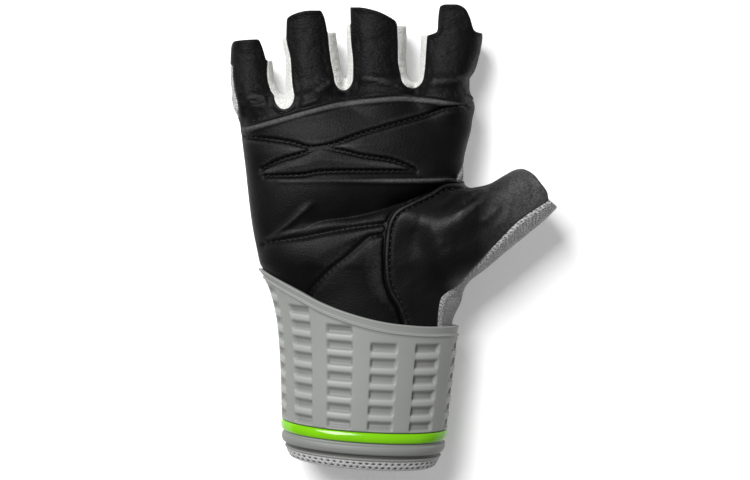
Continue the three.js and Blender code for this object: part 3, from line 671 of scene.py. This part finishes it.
def outward(points, faces):
    f = np.array([f[:3] for f in faces])
    a, b, c = points[f[:, 0]], points[f[:, 1]], points[f[:, 2]]
    return (np.cross(b - a, c - a) * (a + b + c)).sum() > 0


def facingOut(points, faces):
    return faces if outward(points - points.mean(axis=0), faces) else [tuple(reversed(f)) for f in faces]


# Cloth coordinates: round the hand and along it, in millimetres
def clothRound(points):
    x, z = points[:, 0] + 16, (points[:, 2] - 20) * 2.1
    return np.stack([np.arctan2(z, x) * 46, points[:, 1], np.zeros(len(points))], axis=1)


print("stage: materials")


# One socket of a shader, with arithmetic on it
class Wire:
    def __init__(self, finish, socket):
        self.finish = finish
        self.socket = socket

    def maths(self, operation, first, second=0.0):
        return self.finish.add("ShaderNodeMath", {"operation": operation}, {0: first, 1: second})

    def __add__(self, other):
        return self.maths("ADD", self, other)

    def __radd__(self, other):
        return self.maths("ADD", other, self)

    def __sub__(self, other):
        return self.maths("SUBTRACT", self, other)

    def __rsub__(self, other):
        return self.maths("SUBTRACT", other, self)

    def __mul__(self, other):
        return self.maths("MULTIPLY", self, other)

    def __rmul__(self, other):
        return self.maths("MULTIPLY", other, self)

    def sine(self):
        return self.maths("SINE", self)


# A material being made
class Finish:
    def __init__(self, name, **constants):
        self.material = bpy.data.materials.new(name)
        self.material.use_nodes = True
        self.tree = self.material.node_tree
        self.shader = self.tree.nodes["Principled BSDF"]
        for key, value in constants.items():
            self.shader.inputs[key.replace("_", " ")].default_value = value

    def add(self, kind, settings, sockets, out=0):
        node = self.tree.nodes.new(kind)
        for key, value in settings.items():
            setattr(node, key, value)
        for key, value in sockets.items():
            if isinstance(value, Wire):
                self.tree.links.new(value.socket, node.inputs[key])
            else:
                node.inputs[key].default_value = value
        return Wire(self, node.outputs[out])

    def where(self):
        return self.add("ShaderNodeTexCoord", {}, {}, "Object")

    def clothWhere(self):
        return self.add("ShaderNodeAttribute", {"attribute_name": "cloth"}, {}, "Vector")

    def part(self, vector, axis):
        return self.add("ShaderNodeSeparateXYZ", {}, {0: vector}, axis)

    def noise(self, vector, scale, detail=3.0, roughness=0.55):
        return self.add("ShaderNodeTexNoise", {}, {"Vector": vector, "Scale": scale, "Detail": detail,
                                                   "Roughness": roughness}, "Fac")

    def cells(self, vector, scale, feature="F1", smooth=None):
        sockets = {"Vector": vector, "Scale": scale}
        if smooth is not None:
            sockets["Smoothness"] = smooth
        return self.add("ShaderNodeTexVoronoi", {"feature": feature}, sockets, "Distance")

    def stretched(self, vector, scale):
        return self.add("ShaderNodeMapping", {}, {"Vector": vector, "Scale": scale})

    def reach(self, value, low, high, start=0.0, end=1.0):
        return self.add("ShaderNodeMapRange", {"clamp": True}, {0: value, 1: low, 2: high, 3: start, 4: end})

    def mix(self, factor, first, second):
        return self.add("ShaderNodeMix", {"data_type": "RGBA"}, {0: factor, 6: first, 7: second}, 2)

    def bump(self, height, strength, distance, before=None):
        sockets = {"Height": height, "Strength": strength, "Distance": distance}
        if before is not None:
            sockets["Normal"] = before
        return self.add("ShaderNodeBump", {}, sockets)

    def feed(self, **wires):
        for key, wire in wires.items():
            self.tree.links.new(wire.socket, self.shader.inputs[key.replace("_", " ")])
        return self.material


def grey(value):
    return (value, value, value, 1.0)


def darker(tone, share):
    return tuple(c * share for c in tone[:3]) + (1,)


# Black pebbled leather with paler ridges, from wear and painted light, crinkled at the fingers and towards
# the thumb's tip, which has painted light
def leatherFinish(name, look):
    f = Finish(name, Specular_IOR_Level=look["shine"])
    at = f.where()
    pebble = f.cells(at, 1150, "SMOOTH_F1", 0.35)
    fine = f.noise(at, 2600, 2)
    broad = f.noise(at, 70, 4)
    crinkle = f.noise(f.stretched(at, (1, 1.7, 1)), 620, 4, 0.6)
    grain = f.reach(pebble, 0.05, 0.75)
    colour = f.mix(f.reach(broad, 0.35, 0.7), grey(look["tone"]), grey(look["clouds"]))
    loose = f.reach(f.part(at, 1), 0.052, 0.064, 0.12, 1.0)
    # painted light towards the thumb's tip, in patches
    if "tipLight" in look:
        start, full = look["tipLightReach"]
        tipLit = f.reach(f.part(at, 0), start, full)
        patches = f.reach(broad + f.noise(at, 500, 3), 0.7, 1.2, 0.5, 1.0)
        colour = f.mix(tipLit * patches, colour, grey(look["tipLight"]))
        loose = f.reach(f.part(at, 0), start - 0.012, full, 0.12, 0.9)
    # paler ridges from wear and painted light, with painted highlights on the upper edge and crest
    wearAndLight = f.part(f.clothWhere(), 2) + (crinkle - 0.5) * 0.3
    colour = f.mix(f.reach(wearAndLight, 0.12, 1.0), colour, grey(look["wearAndLight"]))
    colour = f.mix(grain * 0.5, colour, grey(look["tone"] * 0.5))
    surface = f.bump(crinkle * loose, 0.62, 0.0006)
    surface = f.bump(1 - grain, 0.24, 0.0002, surface)
    surface = f.bump(fine, 0.10, 0.0001, surface)
    rough = look["rough"]
    roughness = f.reach(broad, 0.3, 0.7, rough - 0.05, rough + 0.06) + grain * 0.08
    return f.feed(Base_Color=colour, Roughness=roughness, Normal=surface)


# Off-white knit with small loops
def terryFinish(name, look):
    f = Finish(name, Specular_IOR_Level=0.2, Sheen_Weight=0.3, Sheen_Roughness=0.6)
    at = f.where()
    loops = f.cells(at, 1500, "SMOOTH_F1", 0.3)
    fluff = f.noise(at, 900, 4, 0.7)
    dirt = f.noise(at, 120, 3)
    colour = f.mix(f.reach(loops, 0.1, 0.7), look["tone"], look["between"])
    colour = f.mix(f.reach(dirt, 0.5, 0.75, 0, 0.3), colour, look["soiled"])
    surface = f.bump(fluff, 0.45, 0.0007)
    surface = f.bump(1 - loops, 0.6, 0.0004, surface)
    return f.feed(Base_Color=colour, Roughness=f.reach(fluff, 0.3, 0.7, 0.85, 0.98), Normal=surface)


# Grey stretch mesh with holes and uneven pits, and painted shade next to the sleeve
def meshFinish(name, look):
    f = Finish(name, Specular_IOR_Level=0.3, Sheen_Weight=0.12, Sheen_Roughness=0.5)
    at = f.clothWhere()
    u, v = f.part(at, 0), f.part(at, 1)
    rib = (u * 4.2).sine()
    loop = (v * 4.2 + (u * 2.1).sine() * 0.6).sine()
    hole = f.reach(rib * loop, 0.25, 0.8)
    mottle = f.noise(f.where(), 240, 3)
    pits = f.reach(f.cells(f.stretched(f.where(), (1, 1.6, 1)), 1150), 0.25, 0.6, 0.0, 0.65)
    colour = f.mix(f.reach(mottle, 0.3, 0.7), *(grey(tone) for tone in look["tones"]))
    colour = f.mix(pits, colour, grey(look["pitAndShade"]))
    # painted shade next to the sleeve
    colour = f.mix(f.reach(f.part(f.where(), 1), -0.026, -0.010, 0.5, 0.0), colour, grey(look["pitAndShade"]))
    colour = f.mix(hole, colour, grey(look["hole"]))
    surface = f.bump(f.noise(f.where(), 160, 3), 0.35, 0.0008)
    surface = f.bump((rib * 0.5 + loop * 0.5) * 0.4 - hole, 0.6, 0.00035, surface)
    return f.feed(Base_Color=colour, Roughness=f.reach(hole, 0, 1, 0.75, 0.95), Normal=surface)


# Satin moulded rubber, with painted shade in slots and grooves and painted light on the rungs
def rubberFinish(name, look):
    f = Finish(name, Specular_IOR_Level=0.42)
    tone = look["tone"]
    at = f.where()
    speck = f.noise(at, 2200, 2)
    cloud = f.noise(at, 45, 4)
    smear = f.noise(f.stretched(at, (1, 4, 1)), 120, 3)
    colour = f.mix(f.reach(cloud, 0.3, 0.7), tone, darker(tone, 0.93))
    colour = f.mix(f.reach(speck, 0.55, 0.8, 0, 0.25), colour, darker(tone, 0.8))
    paintedShading = f.part(f.clothWhere(), 2)
    # painted shade in slots and grooves, painted light on the rungs
    colour = f.mix(f.reach(paintedShading, 0.2, 1.0), colour, darker(tone, look["slotShadeShare"]))
    colour = f.mix(f.reach(paintedShading, 1.2, 2.0), colour, darker(tone, look["grooveShadeShare"]))
    colour = f.mix(f.reach(paintedShading, -1.0, -0.1, 1.0, 0.0), colour, darker(tone, look["rungLightShare"]))
    surface = f.bump(speck, 0.12, 0.0001, f.bump(smear, 0.06, 0.0005))
    return f.feed(Base_Color=colour, Roughness=f.reach(cloud, 0.3, 0.7, 0.46, 0.56), Normal=surface)


# Glossy lime green, with painted shade towards the thumb's side
def limeFinish(name, look):
    f = Finish(name, Specular_IOR_Level=0.05, Coat_Weight=0.65, Coat_Roughness=0.1)
    at = f.where()
    cloud = f.noise(at, 60, 3)
    speck = f.noise(at, 900, 2)
    colour = f.mix(f.reach(cloud, 0.3, 0.7), look["tone"], look["clouds"])
    # painted shade towards the thumb's side
    colour = f.mix(f.reach(f.part(at, 0), 0.010, 0.027, 0.0, 0.4), colour, look["shadeSide"])
    surface = f.bump(speck, 0.05, 0.0001)
    return f.feed(Base_Color=colour, Roughness=f.reach(speck, 0.3, 0.7, 0.2, 0.28), Normal=surface)


# Grey woven tape with painted shade in its pits
def tapeFinish(name, look):
    f = Finish(name, Specular_IOR_Level=0.3, Sheen_Weight=0.1)
    at = f.clothWhere()
    u, v = f.part(at, 0), f.part(at, 1)
    weave = (u * 7.5).sine() * (v * 9.0).sine()
    pitAndShade = f.part(at, 2)
    mottle = f.noise(f.where(), 500, 3)
    colour = f.mix(f.reach(weave + mottle, 0.0, 1.2), *(grey(tone) for tone in look["tones"]))
    # painted shade in the pits
    colour = f.mix(f.reach(pitAndShade, 0.25, 0.8), colour, grey(look["pitAndShade"]))
    surface = f.bump(weave, 0.5, 0.0003, f.bump(mottle, 0.3, 0.0004))
    return f.feed(Base_Color=colour, Roughness=f.reach(mottle, 0.3, 0.7, 0.75, 0.9), Normal=surface)


def threadFinish(name, tone):
    f = Finish(name, Specular_IOR_Level=0.3)
    twist = f.noise(f.where(), 3000, 2)
    colour = f.mix(f.reach(twist, 0.3, 0.7), grey(tone), grey(tone * 1.7))
    roughness = f.reach(twist, 0.3, 0.7, 0.35, 0.5)
    return f.feed(Base_Color=colour, Roughness=roughness, Normal=f.bump(twist, 0.4, 0.0002))


print("stage: palm and thumb panels")
palmPiece = {
    "thickness": 2.0, "sink": 0.0, "fill": 0.5,
    "tone": 0.002, "clouds": 0.004, "wearAndLight": 0.075, "rough": 0.42, "shine": 0.088,
}
thumbPiece = {
    "thickness": 2.0, "sink": 0.0, "fill": 0.4,
    "tone": 0.002, "clouds": 0.004, "wearAndLight": 0.075, "rough": 0.42, "shine": 0.145,
    # painted light towards the tip: its tone, and where in metres it starts and is full
    "tipLight": 0.09, "tipLightReach": (0.036, 0.062),
}
palmLeather = leatherFinish("palm_leather", palmPiece)
thumbLeather = leatherFinish("thumb_leather", thumbPiece)
noRelief = np.zeros(gridX.shape)


def leatherRegion(p):
    x, y = asSeen(p)
    region = smoothMax(readPattern(leatherField, x, y) + 0.12, seamHeight(x, y) + 0.12 - p[:, 2], 0.6)
    return np.maximum(region, readPattern(cuffField, x, y))


def palmRegion(p):
    return np.maximum(leatherRegion(p), -readSeen(thumbField, p) - 0.7)


def thumbRegion(p):
    return smoothMax(leatherRegion(p), readSeen(thumbField, p), 0.8)


def treeOf(points, faces):
    return BVHTree.FromPolygons(points.tolist(), [[int(i) for i in f] for f in faces])


# Cloth coordinates of the leather: place, then how much wear and painted light it has
def wearAndLightCloth(points, wear):
    x, y = asSeen(points)
    return np.stack([x, y, readPattern(wear, x, y)], axis=1)


points, faces = handPanel(palmPiece, palmRegion, palmRelief, valleyRelief)
palm = makePiece("palm_leather", points, facingOut(points, faces), palmLeather,
                 wearAndLightCloth(points, palmWearAndLight))
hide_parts("palm_panel")
palmTree = treeOf(points, faces)
points, faces = handPanel(thumbPiece, thumbRegion, thumbRelief, noRelief)
thumb = makePiece("thumb_leather", points, facingOut(points, faces), thumbLeather,
                  wearAndLightCloth(points, thumbWearAndLight))
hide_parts("thumb_panel")
thumbTree = treeOf(points, faces)

print("stage: strips between the fingers and the back")
stripPiece = {
    "thickness": 1.6, "sink": 0.25, "fluff": 0.35, "waves": [(0.5, 21, 3.0), (0.35, 22, 1.6)],
    "tone": (0.70, 0.70, 0.68, 1), "between": (0.44, 0.44, 0.42, 1), "soiled": (0.62, 0.62, 0.60, 1),
}
backPiece = {
    "thickness": 1.6, "sink": 0.3, "lip": 0.45, "waves": [(0.35, 31, 14), (0.2, 32, 6)],
    "tones": (0.46, 0.58), "pitAndShade": 0.12, "hole": 0.09,
}
stripTerry = terryFinish("strip_terry", stripPiece)
backMesh = meshFinish("back_mesh", backPiece)
stripRelief = stripPiece["fluff"] * manyWaves(stripPiece["waves"])
backRelief = manyWaves(backPiece["waves"]) + backPiece["lip"] * ridge(leatherField - 1.5, 0.9)


def stripRegion(index):
    return lambda p: smoothMax(readSeen(gapFields[index], p) - 0.8, readSeen(backField, p), 1.0)


# How far a point lies under the leather's edge
def underLeather(p):
    x, y = asSeen(p)
    return -smoothMax(readPattern(leatherField, x, y), seamHeight(x, y) - p[:, 2], 0.6)


def backRegion(p):
    region = smoothMax(underLeather(p) - 0.8, readSeen(backField, p), 0.8)
    region = np.maximum(region, readSeen(cuffField, p))
    return smoothMax(region, 0.05 - readSeen(gapField, p), 0.5)


for index, name in enumerate(("fourchette_pinky_ring", "fourchette_ring_middle", "fourchette_middle_index")):
    points, faces = handPanel(stripPiece, stripRegion(index), stripRelief, noRelief, underLeather)
    strip = makePiece(name.replace("fourchette", "strip"), points, facingOut(points, faces), stripTerry,
                      clothRound(points))
    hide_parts(name)
points, faces = handPanel(backPiece, backRegion, backRelief, noRelief, underLeather)
back = makePiece("back_fabric", points, facingOut(points, faces), backMesh, clothRound(points))
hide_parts("back_panel")

print("stage: stitches")
stitchPiece = {"length": 1.5, "radius": 0.22, "sides": 8, "rows": 5, "thumbPitch": 2.8, "tone": 0.006}
sewingThread = threadFinish("sewing_thread", stitchPiece["tone"])


# Stitches along a line seen from above, laid on the leather below it
def stitchRow(line, tree, pitch):
    run = runAlong(line)
    eye = Vector((camera["x"], camera["y"], camera["height"]))
    found = []
    for start in np.arange(pitch * 0.3, run[-1] - pitch * 0.9, pitch):
        ends = []
        for s in (start, start + stitchPiece["length"]):
            aim = Vector((*straightAt(line, run, s), camera["plane"])) - eye
            hit, normal, face, far = tree.ray_cast(eye, aim.normalized())
            if hit is None:
                break
            ends.append((np.array(hit), np.array(normal)))
        if len(ends) == 2 and abs(ends[0][0][2] - ends[1][0][2]) < 1.5:
            found.append(ends)
    return found


def stitchMesh(found):
    points, faces = [], []
    sides, rows = stitchPiece["sides"], stitchPiece["rows"]
    for (a, na), (b, nb) in found:
        n = na + nb
        n = n / np.linalg.norm(n)
        along = b - a
        length = np.linalg.norm(along)
        along = along / length
        across = np.cross(n, along)
        across = across / np.linalg.norm(across)
        n = np.cross(along, across)
        first = len(points)
        for r in range(rows):
            t = -1 + 2 * (r + 0.5) / rows
            size = stitchPiece["radius"] * np.sqrt(max(1 - t ** 4, 0.02))
            middle = (a + b) / 2 + along * t * length * 0.5 + n * (0.12 - 0.2 * t * t)
            for k in range(sides):
                angle = 2 * np.pi * k / sides
                points.append(middle + across * np.cos(angle) * size * 1.15 + n * np.sin(angle) * size)
        for r in range(rows - 1):
            for k in range(sides):
                p, q = first + r * sides + k, first + r * sides + (k + 1) % sides
                faces.append((p, q, q + sides, p + sides))
        faces.append(tuple(first + k for k in reversed(range(sides))))
        faces.append(tuple(first + (rows - 1) * sides + k for k in range(sides)))
    return np.array(points), faces


def shiftedLine(line, distance):
    d = np.gradient(line, axis=0)
    d = d / np.hypot(*d.T)[:, None]
    return line + np.stack([-d[:, 1], d[:, 0]], axis=1) * distance


palmStitches = []
for name in ("leftSeam", "risingSeam", "middleSeam", "heelSeam"):
    palmStitches += stitchRow(seamLines[name], palmTree, quilting["stitchPitch"])
palmStitches += stitchRow(shiftedLine(seamLines["upperEdge"], 1.7)[:26], palmTree, quilting["stitchPitch"])
points, faces = stitchMesh(palmStitches)
palmThread = makePiece("palm_stitches", points, faces, sewingThread)
thumbStitches = stitchRow(shiftedLine(thenarLine[4:-14], 2.4), thumbTree, stitchPiece["thumbPitch"])
points, faces = stitchMesh(thumbStitches)
thumbThread = makePiece("thumb_stitches", points, faces, sewingThread)

print("stage: sleeve")
sleeveShape = {
    "roundness": 2.08,
    # y, left and right edge, height
    "rows": [(-102, -45.4, 20.4, 41.5), (-94, -47.6, 22.6, 43.6), (-86, -49, 24.3, 44),
             (-74, -49.5, 25.9, 43.8), (-62, -49.8, 27.3, 43.4), (-50, -50.4, 28.8, 42.9),
             (-38, -51.4, 29.8, 42.6), (-26, -53.8, 31.5, 42.3), (-19, -56.4, 32.2, 42.1),
             (-12, -60.6, 33, 42)],
    # y of the stripe's middle, and how it tilts across and upwards
    "stripe": (-83.5, -2.3, -2.1),
    # colour, and how much painted shade slots and grooves take and how much painted light the rungs take
    "tone": (0.214, 0.220, 0.209, 1),
    "slotShadeShare": 0.76,
    "grooveShadeShare": 0.3,
    "rungLightShare": 1.22,
    "thickness": 3.0,
    "columns": 10,
    "columnShift": -2.7,
    # place round the wrist and the same place on an even ladder, closer together at the left
    "columnPlaces": [(-99, -99), (-90, -92), (-66, -72), (-44.5, -52), (-37.4, -42.5), (-29.6, -32.3),
                     (-21, -22.2), (-12, -12.4), (0, 0), (99, 99)],
    "slotWidth": 11.2,
    "slotHeight": 3.5,
    "slotDepth": 1.3,
    "slotPitch": 6.75,
    "firstSlot": 5.2,
    "slotMargin": 5.4,
    # how much lower the rungs between the slots sit than the ribs
    "rungDepth": 0.22,
    # along the sleeve: steps of the rows of points, where they start and the height of the border
    "rowStep": 0.44,
    "firstRow": 3.3,
    "border": 6,
    # distance from the stripe's middle and how far in from full size
    "lower": [(-10.4, 1.6), (-9.8, 0.9), (-9.3, 1.0), (-8.9, 1.75), (-7.7, 1.6), (-7.3, 0.6), (-6.6, 0.25),
              (-5.4, 0.1), (-4.2, 0.3), (-3.7, 0.6), (-3.2, 1.3), (-2.5, 1.7), (2.3, 1.7), (2.5, 0.75),
              (2.9, 0.5)],
    # distance from the top edge and how far in
    "upper": [(5.0, 0.5), (4.6, 0.25), (4.25, -0.05), (3.9, 0.1), (3.6, 0.75), (3.2, 0.85), (1.2, 0.55),
              (0.7, 0.4), (0.25, 0.55), (0, 1.2)],
}
sleeveRubber = rubberFinish("sleeve_rubber", sleeveShape)
sleeveReaders = [curveReader(*np.array(sleeveShape["rows"])[:, [0, c]].T) for c in (1, 2, 3)]


def rounded(value):
    return np.sign(value) * np.abs(value) ** (2 / sleeveShape["roundness"])


def stripeLine(angle):
    middle, tiltX, tiltZ = sleeveShape["stripe"]
    return middle + tiltX * np.cos(angle) + tiltZ * np.sin(angle)


def sleevePoint(angle, along, inset):
    y = stripeLine(angle) + along
    left, right, thick = (read(y) for read in sleeveReaders)
    x = (left + right) / 2 + ((right - left) / 2 - inset) * rounded(np.cos(angle))
    z = thick / 2 + (thick / 2 - inset) * rounded(np.sin(angle))
    return np.stack([x, y, z], axis=-1)


arcAngles = np.pi / 2 - np.linspace(0, 2 * np.pi, 2881)
arcLine = sleevePoint(arcAngles, 20.0, 0.0)
arcLengths = runAlong(arcLine[:, [0, 2]])
girth = arcLengths[-1]
ringCount = 400
ringArc = np.arange(ringCount) * girth / ringCount
ringAngle = np.interp(ringArc, arcLengths, arcAngles)
topEdge = np.full(ringCount, 45.0)
for turn in range(3):
    topEdge = readCuffEdge(sleevePoint(ringAngle, topEdge, 0.0)[:, 0]) - stripeLine(ringAngle)


# Joins rows of points round the wrist; closed joins the last row to the first
def ringFaces(rows, count, closed):
    faces = []
    for r in range(rows if closed else rows - 1):
        s = (r + 1) % rows
        for i in range(count):
            j = (i + 1) % count
            faces.append((r * count + i, r * count + j, s * count + j, s * count + i))
    return faces


# Place round the wrist on an even ladder, from the middle of the palm's side
evenPlace = tableReader(sleeveShape["columnPlaces"])((ringArc + girth / 2) % girth - girth / 2)
order = np.argsort(evenPlace)


# How deep the ladder lies at each point of a ring, and its painted shading: 1 in a slot and -1 on a rung
def ladderDepth(along):
    columns, shift = sleeveShape["columns"], sleeveShape["columnShift"]
    firstSlot, pitch = sleeveShape["firstSlot"], sleeveShape["slotPitch"]
    halfHeight, halfWidth = sleeveShape["slotHeight"] / 2, sleeveShape["slotWidth"] / 2
    column = np.floor((evenPlace - shift) / girth * columns)
    middle = girth * (column + 0.5) / columns + shift
    middleEdge = np.interp(middle, evenPlace[order], topEdge[order], period=girth)
    last = np.ceil((middleEdge - sleeveShape["slotMargin"] - halfHeight - firstSlot) / pitch) - 1
    step = np.clip(np.round((along - firstSlot) / pitch), 0, last)
    rise = along - firstSlot - step * pitch
    inRow = 1 - smoothstep(rise, halfHeight - 1.3, halfHeight + 0.7)
    inRow = inRow * smoothstep(rise, -halfHeight - 0.5, -halfHeight + 0.6)
    inColumn = 1 - smoothstep(np.abs(evenPlace - middle), halfWidth - 0.35, halfWidth + 0.25)
    # rungs sit a little lower than the flat ribs and are rounded
    span = (along > firstSlot) & (along < firstSlot + last * pitch)
    rung = sleeveShape["rungDepth"] * inColumn * span * smoothstep(np.abs(np.abs(rise) - pitch / 2), 0.3, 1.6)
    paintedShading = inRow * inColumn - inColumn * span * (1 - inRow)
    return sleeveShape["slotDepth"] * inRow * inColumn + rung, paintedShading


# Rows of points round the sleeve, up the outside and down the inside: place, how far in, painted shading
def sleeveRows():
    rows = []
    whole = np.ones(ringCount)
    for along, inset in evenProfile(sleeveShape["lower"], 64):
        # painted shade in the grooves; the band below the stripe is made darker too
        grooveShadeAmount = max(2 * float(smoothstep(inset, 1.15, 1.6)) * (along < -5), 0.85 * (along < -3))
        rows.append((along * whole, inset * whole, grooveShadeAmount * whole))
    limit, step = topEdge - sleeveShape["border"], sleeveShape["rowStep"]
    for along in np.arange(sleeveShape["firstRow"], limit.max() + step, step):
        # rows that reach the border follow it, each a little below the next
        bounded = smoothMin(along * whole, limit - 0.004 * (topEdge.max() - along), 1.2)
        depth, paintedShading = ladderDepth(bounded)
        rows.append((bounded, 0.5 + depth, paintedShading))
    for off, inset in evenProfile(sleeveShape["upper"], 26):
        rows.append((topEdge - off, inset * whole, 0 * whole))
    for share in (1.0, 0.8, 0.6, 0.4, 0.2, 0.0):
        rows.append((-4.5 + (topEdge + 4.3) * share, sleeveShape["thickness"] * whole, 0 * whole))
    rows.append((sleeveShape["lower"][0][0] * whole, sleeveShape["thickness"] * whole, 0 * whole))
    return rows


rows = sleeveRows()
points = np.concatenate([sleevePoint(ringAngle, along, inset) for along, inset, paintedShading in rows])
cloth = np.concatenate([np.stack([ringArc, along, paintedShading], axis=1) for along, inset, paintedShading in rows])
faces = ringFaces(len(rows), ringCount, True)
sleeve = makePiece("sleeve", points, facingOut(points, faces), sleeveRubber, cloth)
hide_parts("cuff_sleeve")

print("stage: stripe and hem")
stripePiece = {
    # distance from the stripe's middle and how far in from full size
    "profile": [(-2.2, 1.9), (-2.12, 0.9), (-1.7, 0.4), (-0.2, 0.12), (1.6, 0.5), (2.12, 0.95), (2.2, 1.9)],
    "tone": (0.163, 0.465, 0.001, 1),
    "clouds": (0.142, 0.415, 0.001, 1),
    "shadeSide": (0.05, 0.19, 0.002, 1),
}
stripeGloss = limeFinish("stripe_gloss", stripePiece)
profile = np.array(stripePiece["profile"])
run = runAlong(profile)
stripeRows = curvedAt(profile, run, np.linspace(0, run[-1], 36))
points = np.concatenate([sleevePoint(ringAngle, a, i) for a, i in stripeRows])
faces = ringFaces(len(stripeRows), ringCount, True)
stripe = makePiece("stripe", points, facingOut(points, faces), stripeGloss)
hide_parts("cuff_stripe")

hemPiece = {
    # distance from the stripe's middle and how far in, down the outside and up the inside
    "profile": [(-9.6, 1.9), (-10.3, 1.35), (-11, 1.3), (-12, 1.45), (-13.1, 1.75), (-13.9, 2.3),
                (-14.3, 3.1), (-14.2, 4.1), (-13.6, 4.5), (-8, 4.6), (-4.5, 4.6), (-4.5, 3.3), (-9.6, 3.3)],
    "pitRows": [-11.35, -13.0],
    "pitPitch": 3.3,
    "pitDepth": 0.55,
    "tones": (0.36, 0.58),
    "pitAndShade": 0.05,
}
hemTape = tapeFinish("hem_tape", hemPiece)
profile = np.array(hemPiece["profile"])
run = runAlong(profile)
where = np.concatenate([np.linspace(0, run[8], 34), run[9:]])
hemRing = 640
hemArc = np.arange(hemRing) * girth / hemRing
hemAngle = np.interp(hemArc, arcLengths, arcAngles)
hemPoints, hemCloth = [], []
pitCount = round(girth / hemPiece["pitPitch"])
pitSizes = np.random.default_rng(7).random((2, pitCount))
for at in where:
    along, inset = straightAt(profile, run, at)
    pitAndShade = np.zeros(hemRing)
    for row, centre in enumerate(hemPiece["pitRows"]):
        number = hemArc / girth * pitCount + 0.5 * row
        wide = 0.9 + 0.5 * pitSizes[row][np.floor(number).astype(int) % pitCount]
        off = np.hypot((number % 1 - 0.5) * girth / pitCount / wide, (along - centre) / 0.62)
        pitAndShade = np.maximum(pitAndShade, np.exp(-off ** 2 * 1.3) * (at < run[6]))
    weave = 0.1 * np.sin(hemArc * 3.6) * np.sin(along * 4.2) * (at < run[7])
    inset = inset + pitAndShade * hemPiece["pitDepth"] + weave
    hemPoints.append(sleevePoint(hemAngle, np.full(hemRing, along), inset))
    hemCloth.append(np.stack([hemArc, np.full(hemRing, along), pitAndShade], axis=1))
points = np.concatenate(hemPoints)
faces = ringFaces(len(where), hemRing, True)
hem = makePiece("hem", points, facingOut(points, faces), hemTape, np.concatenate(hemCloth))
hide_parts("cuff_hem")

print("stage: floor, light and camera")
studio = {
    "floorTones": (0.9, 0.89), "floorReach": 4.0, "glow": 0.2, "world": 0.24,
    "key": 18.0, "keySize": 0.55, "keyPlace": (-0.38, 0.49, 0.90),
    "fill": 0.25, "fillSize": 0.8, "fillPlace": (0.8, -0.2, 0.9),
}
reach = studio["floorReach"]
floorMesh = bpy.data.meshes.new("floor")
floorMesh.from_pydata([(-reach, -reach, 0), (reach, -reach, 0), (reach, reach, 0), (-reach, reach, 0)], [],
                      [(0, 1, 2, 3)])
floor = bpy.data.objects.new("floor", floorMesh)
bpy.context.scene.collection.objects.link(floor)
floor.location.z = -0.0004
# the paper glows a little, a painted light that keeps shadows pale
paper = Finish("floor_paper", Specular_IOR_Level=0.1, Emission_Color=grey(1.0),
               Emission_Strength=studio["glow"])
paperNoise = paper.noise(paper.where(), 60, 3)
paperTone = paper.mix(paper.reach(paperNoise, 0.3, 0.7), *(grey(tone) for tone in studio["floorTones"]))
paperRoughness = paper.reach(paperNoise, 0.3, 0.7, 0.85, 0.9)
floorMesh.materials.append(paper.feed(Base_Color=paperTone, Roughness=paperRoughness))

for name in ("key", "fill"):
    light = bpy.data.lights.new(name, "AREA")
    light.energy = studio[name]
    light.size = studio[name + "Size"]
    lamp = bpy.data.objects.new(name, light)
    bpy.context.scene.collection.objects.link(lamp)
    lamp.location = studio[name + "Place"]
    lamp.rotation_euler = (-Vector(lamp.location)).to_track_quat("-Z", "Y").to_euler()
world = bpy.data.worlds.new("studio")
world.use_nodes = True
world.node_tree.nodes["Background"].inputs[0].default_value = (1, 1, 1, 1)
world.node_tree.nodes["Background"].inputs[1].default_value = studio["world"]
bpy.context.scene.world = world
bpy.context.scene.view_settings.view_transform = "Standard"
lens = bpy.data.cameras.new("camera")
lens.sensor_width = 36
lens.lens = 36 * (camera["height"] - camera["plane"]) / camera["width"]
lens.clip_start = 0.05
eye = bpy.data.objects.new("camera", lens)
bpy.context.scene.collection.objects.link(eye)
eye.location = toFrame([(camera["x"], camera["y"], camera["height"])])[0]
bpy.context.scene.camera = eye
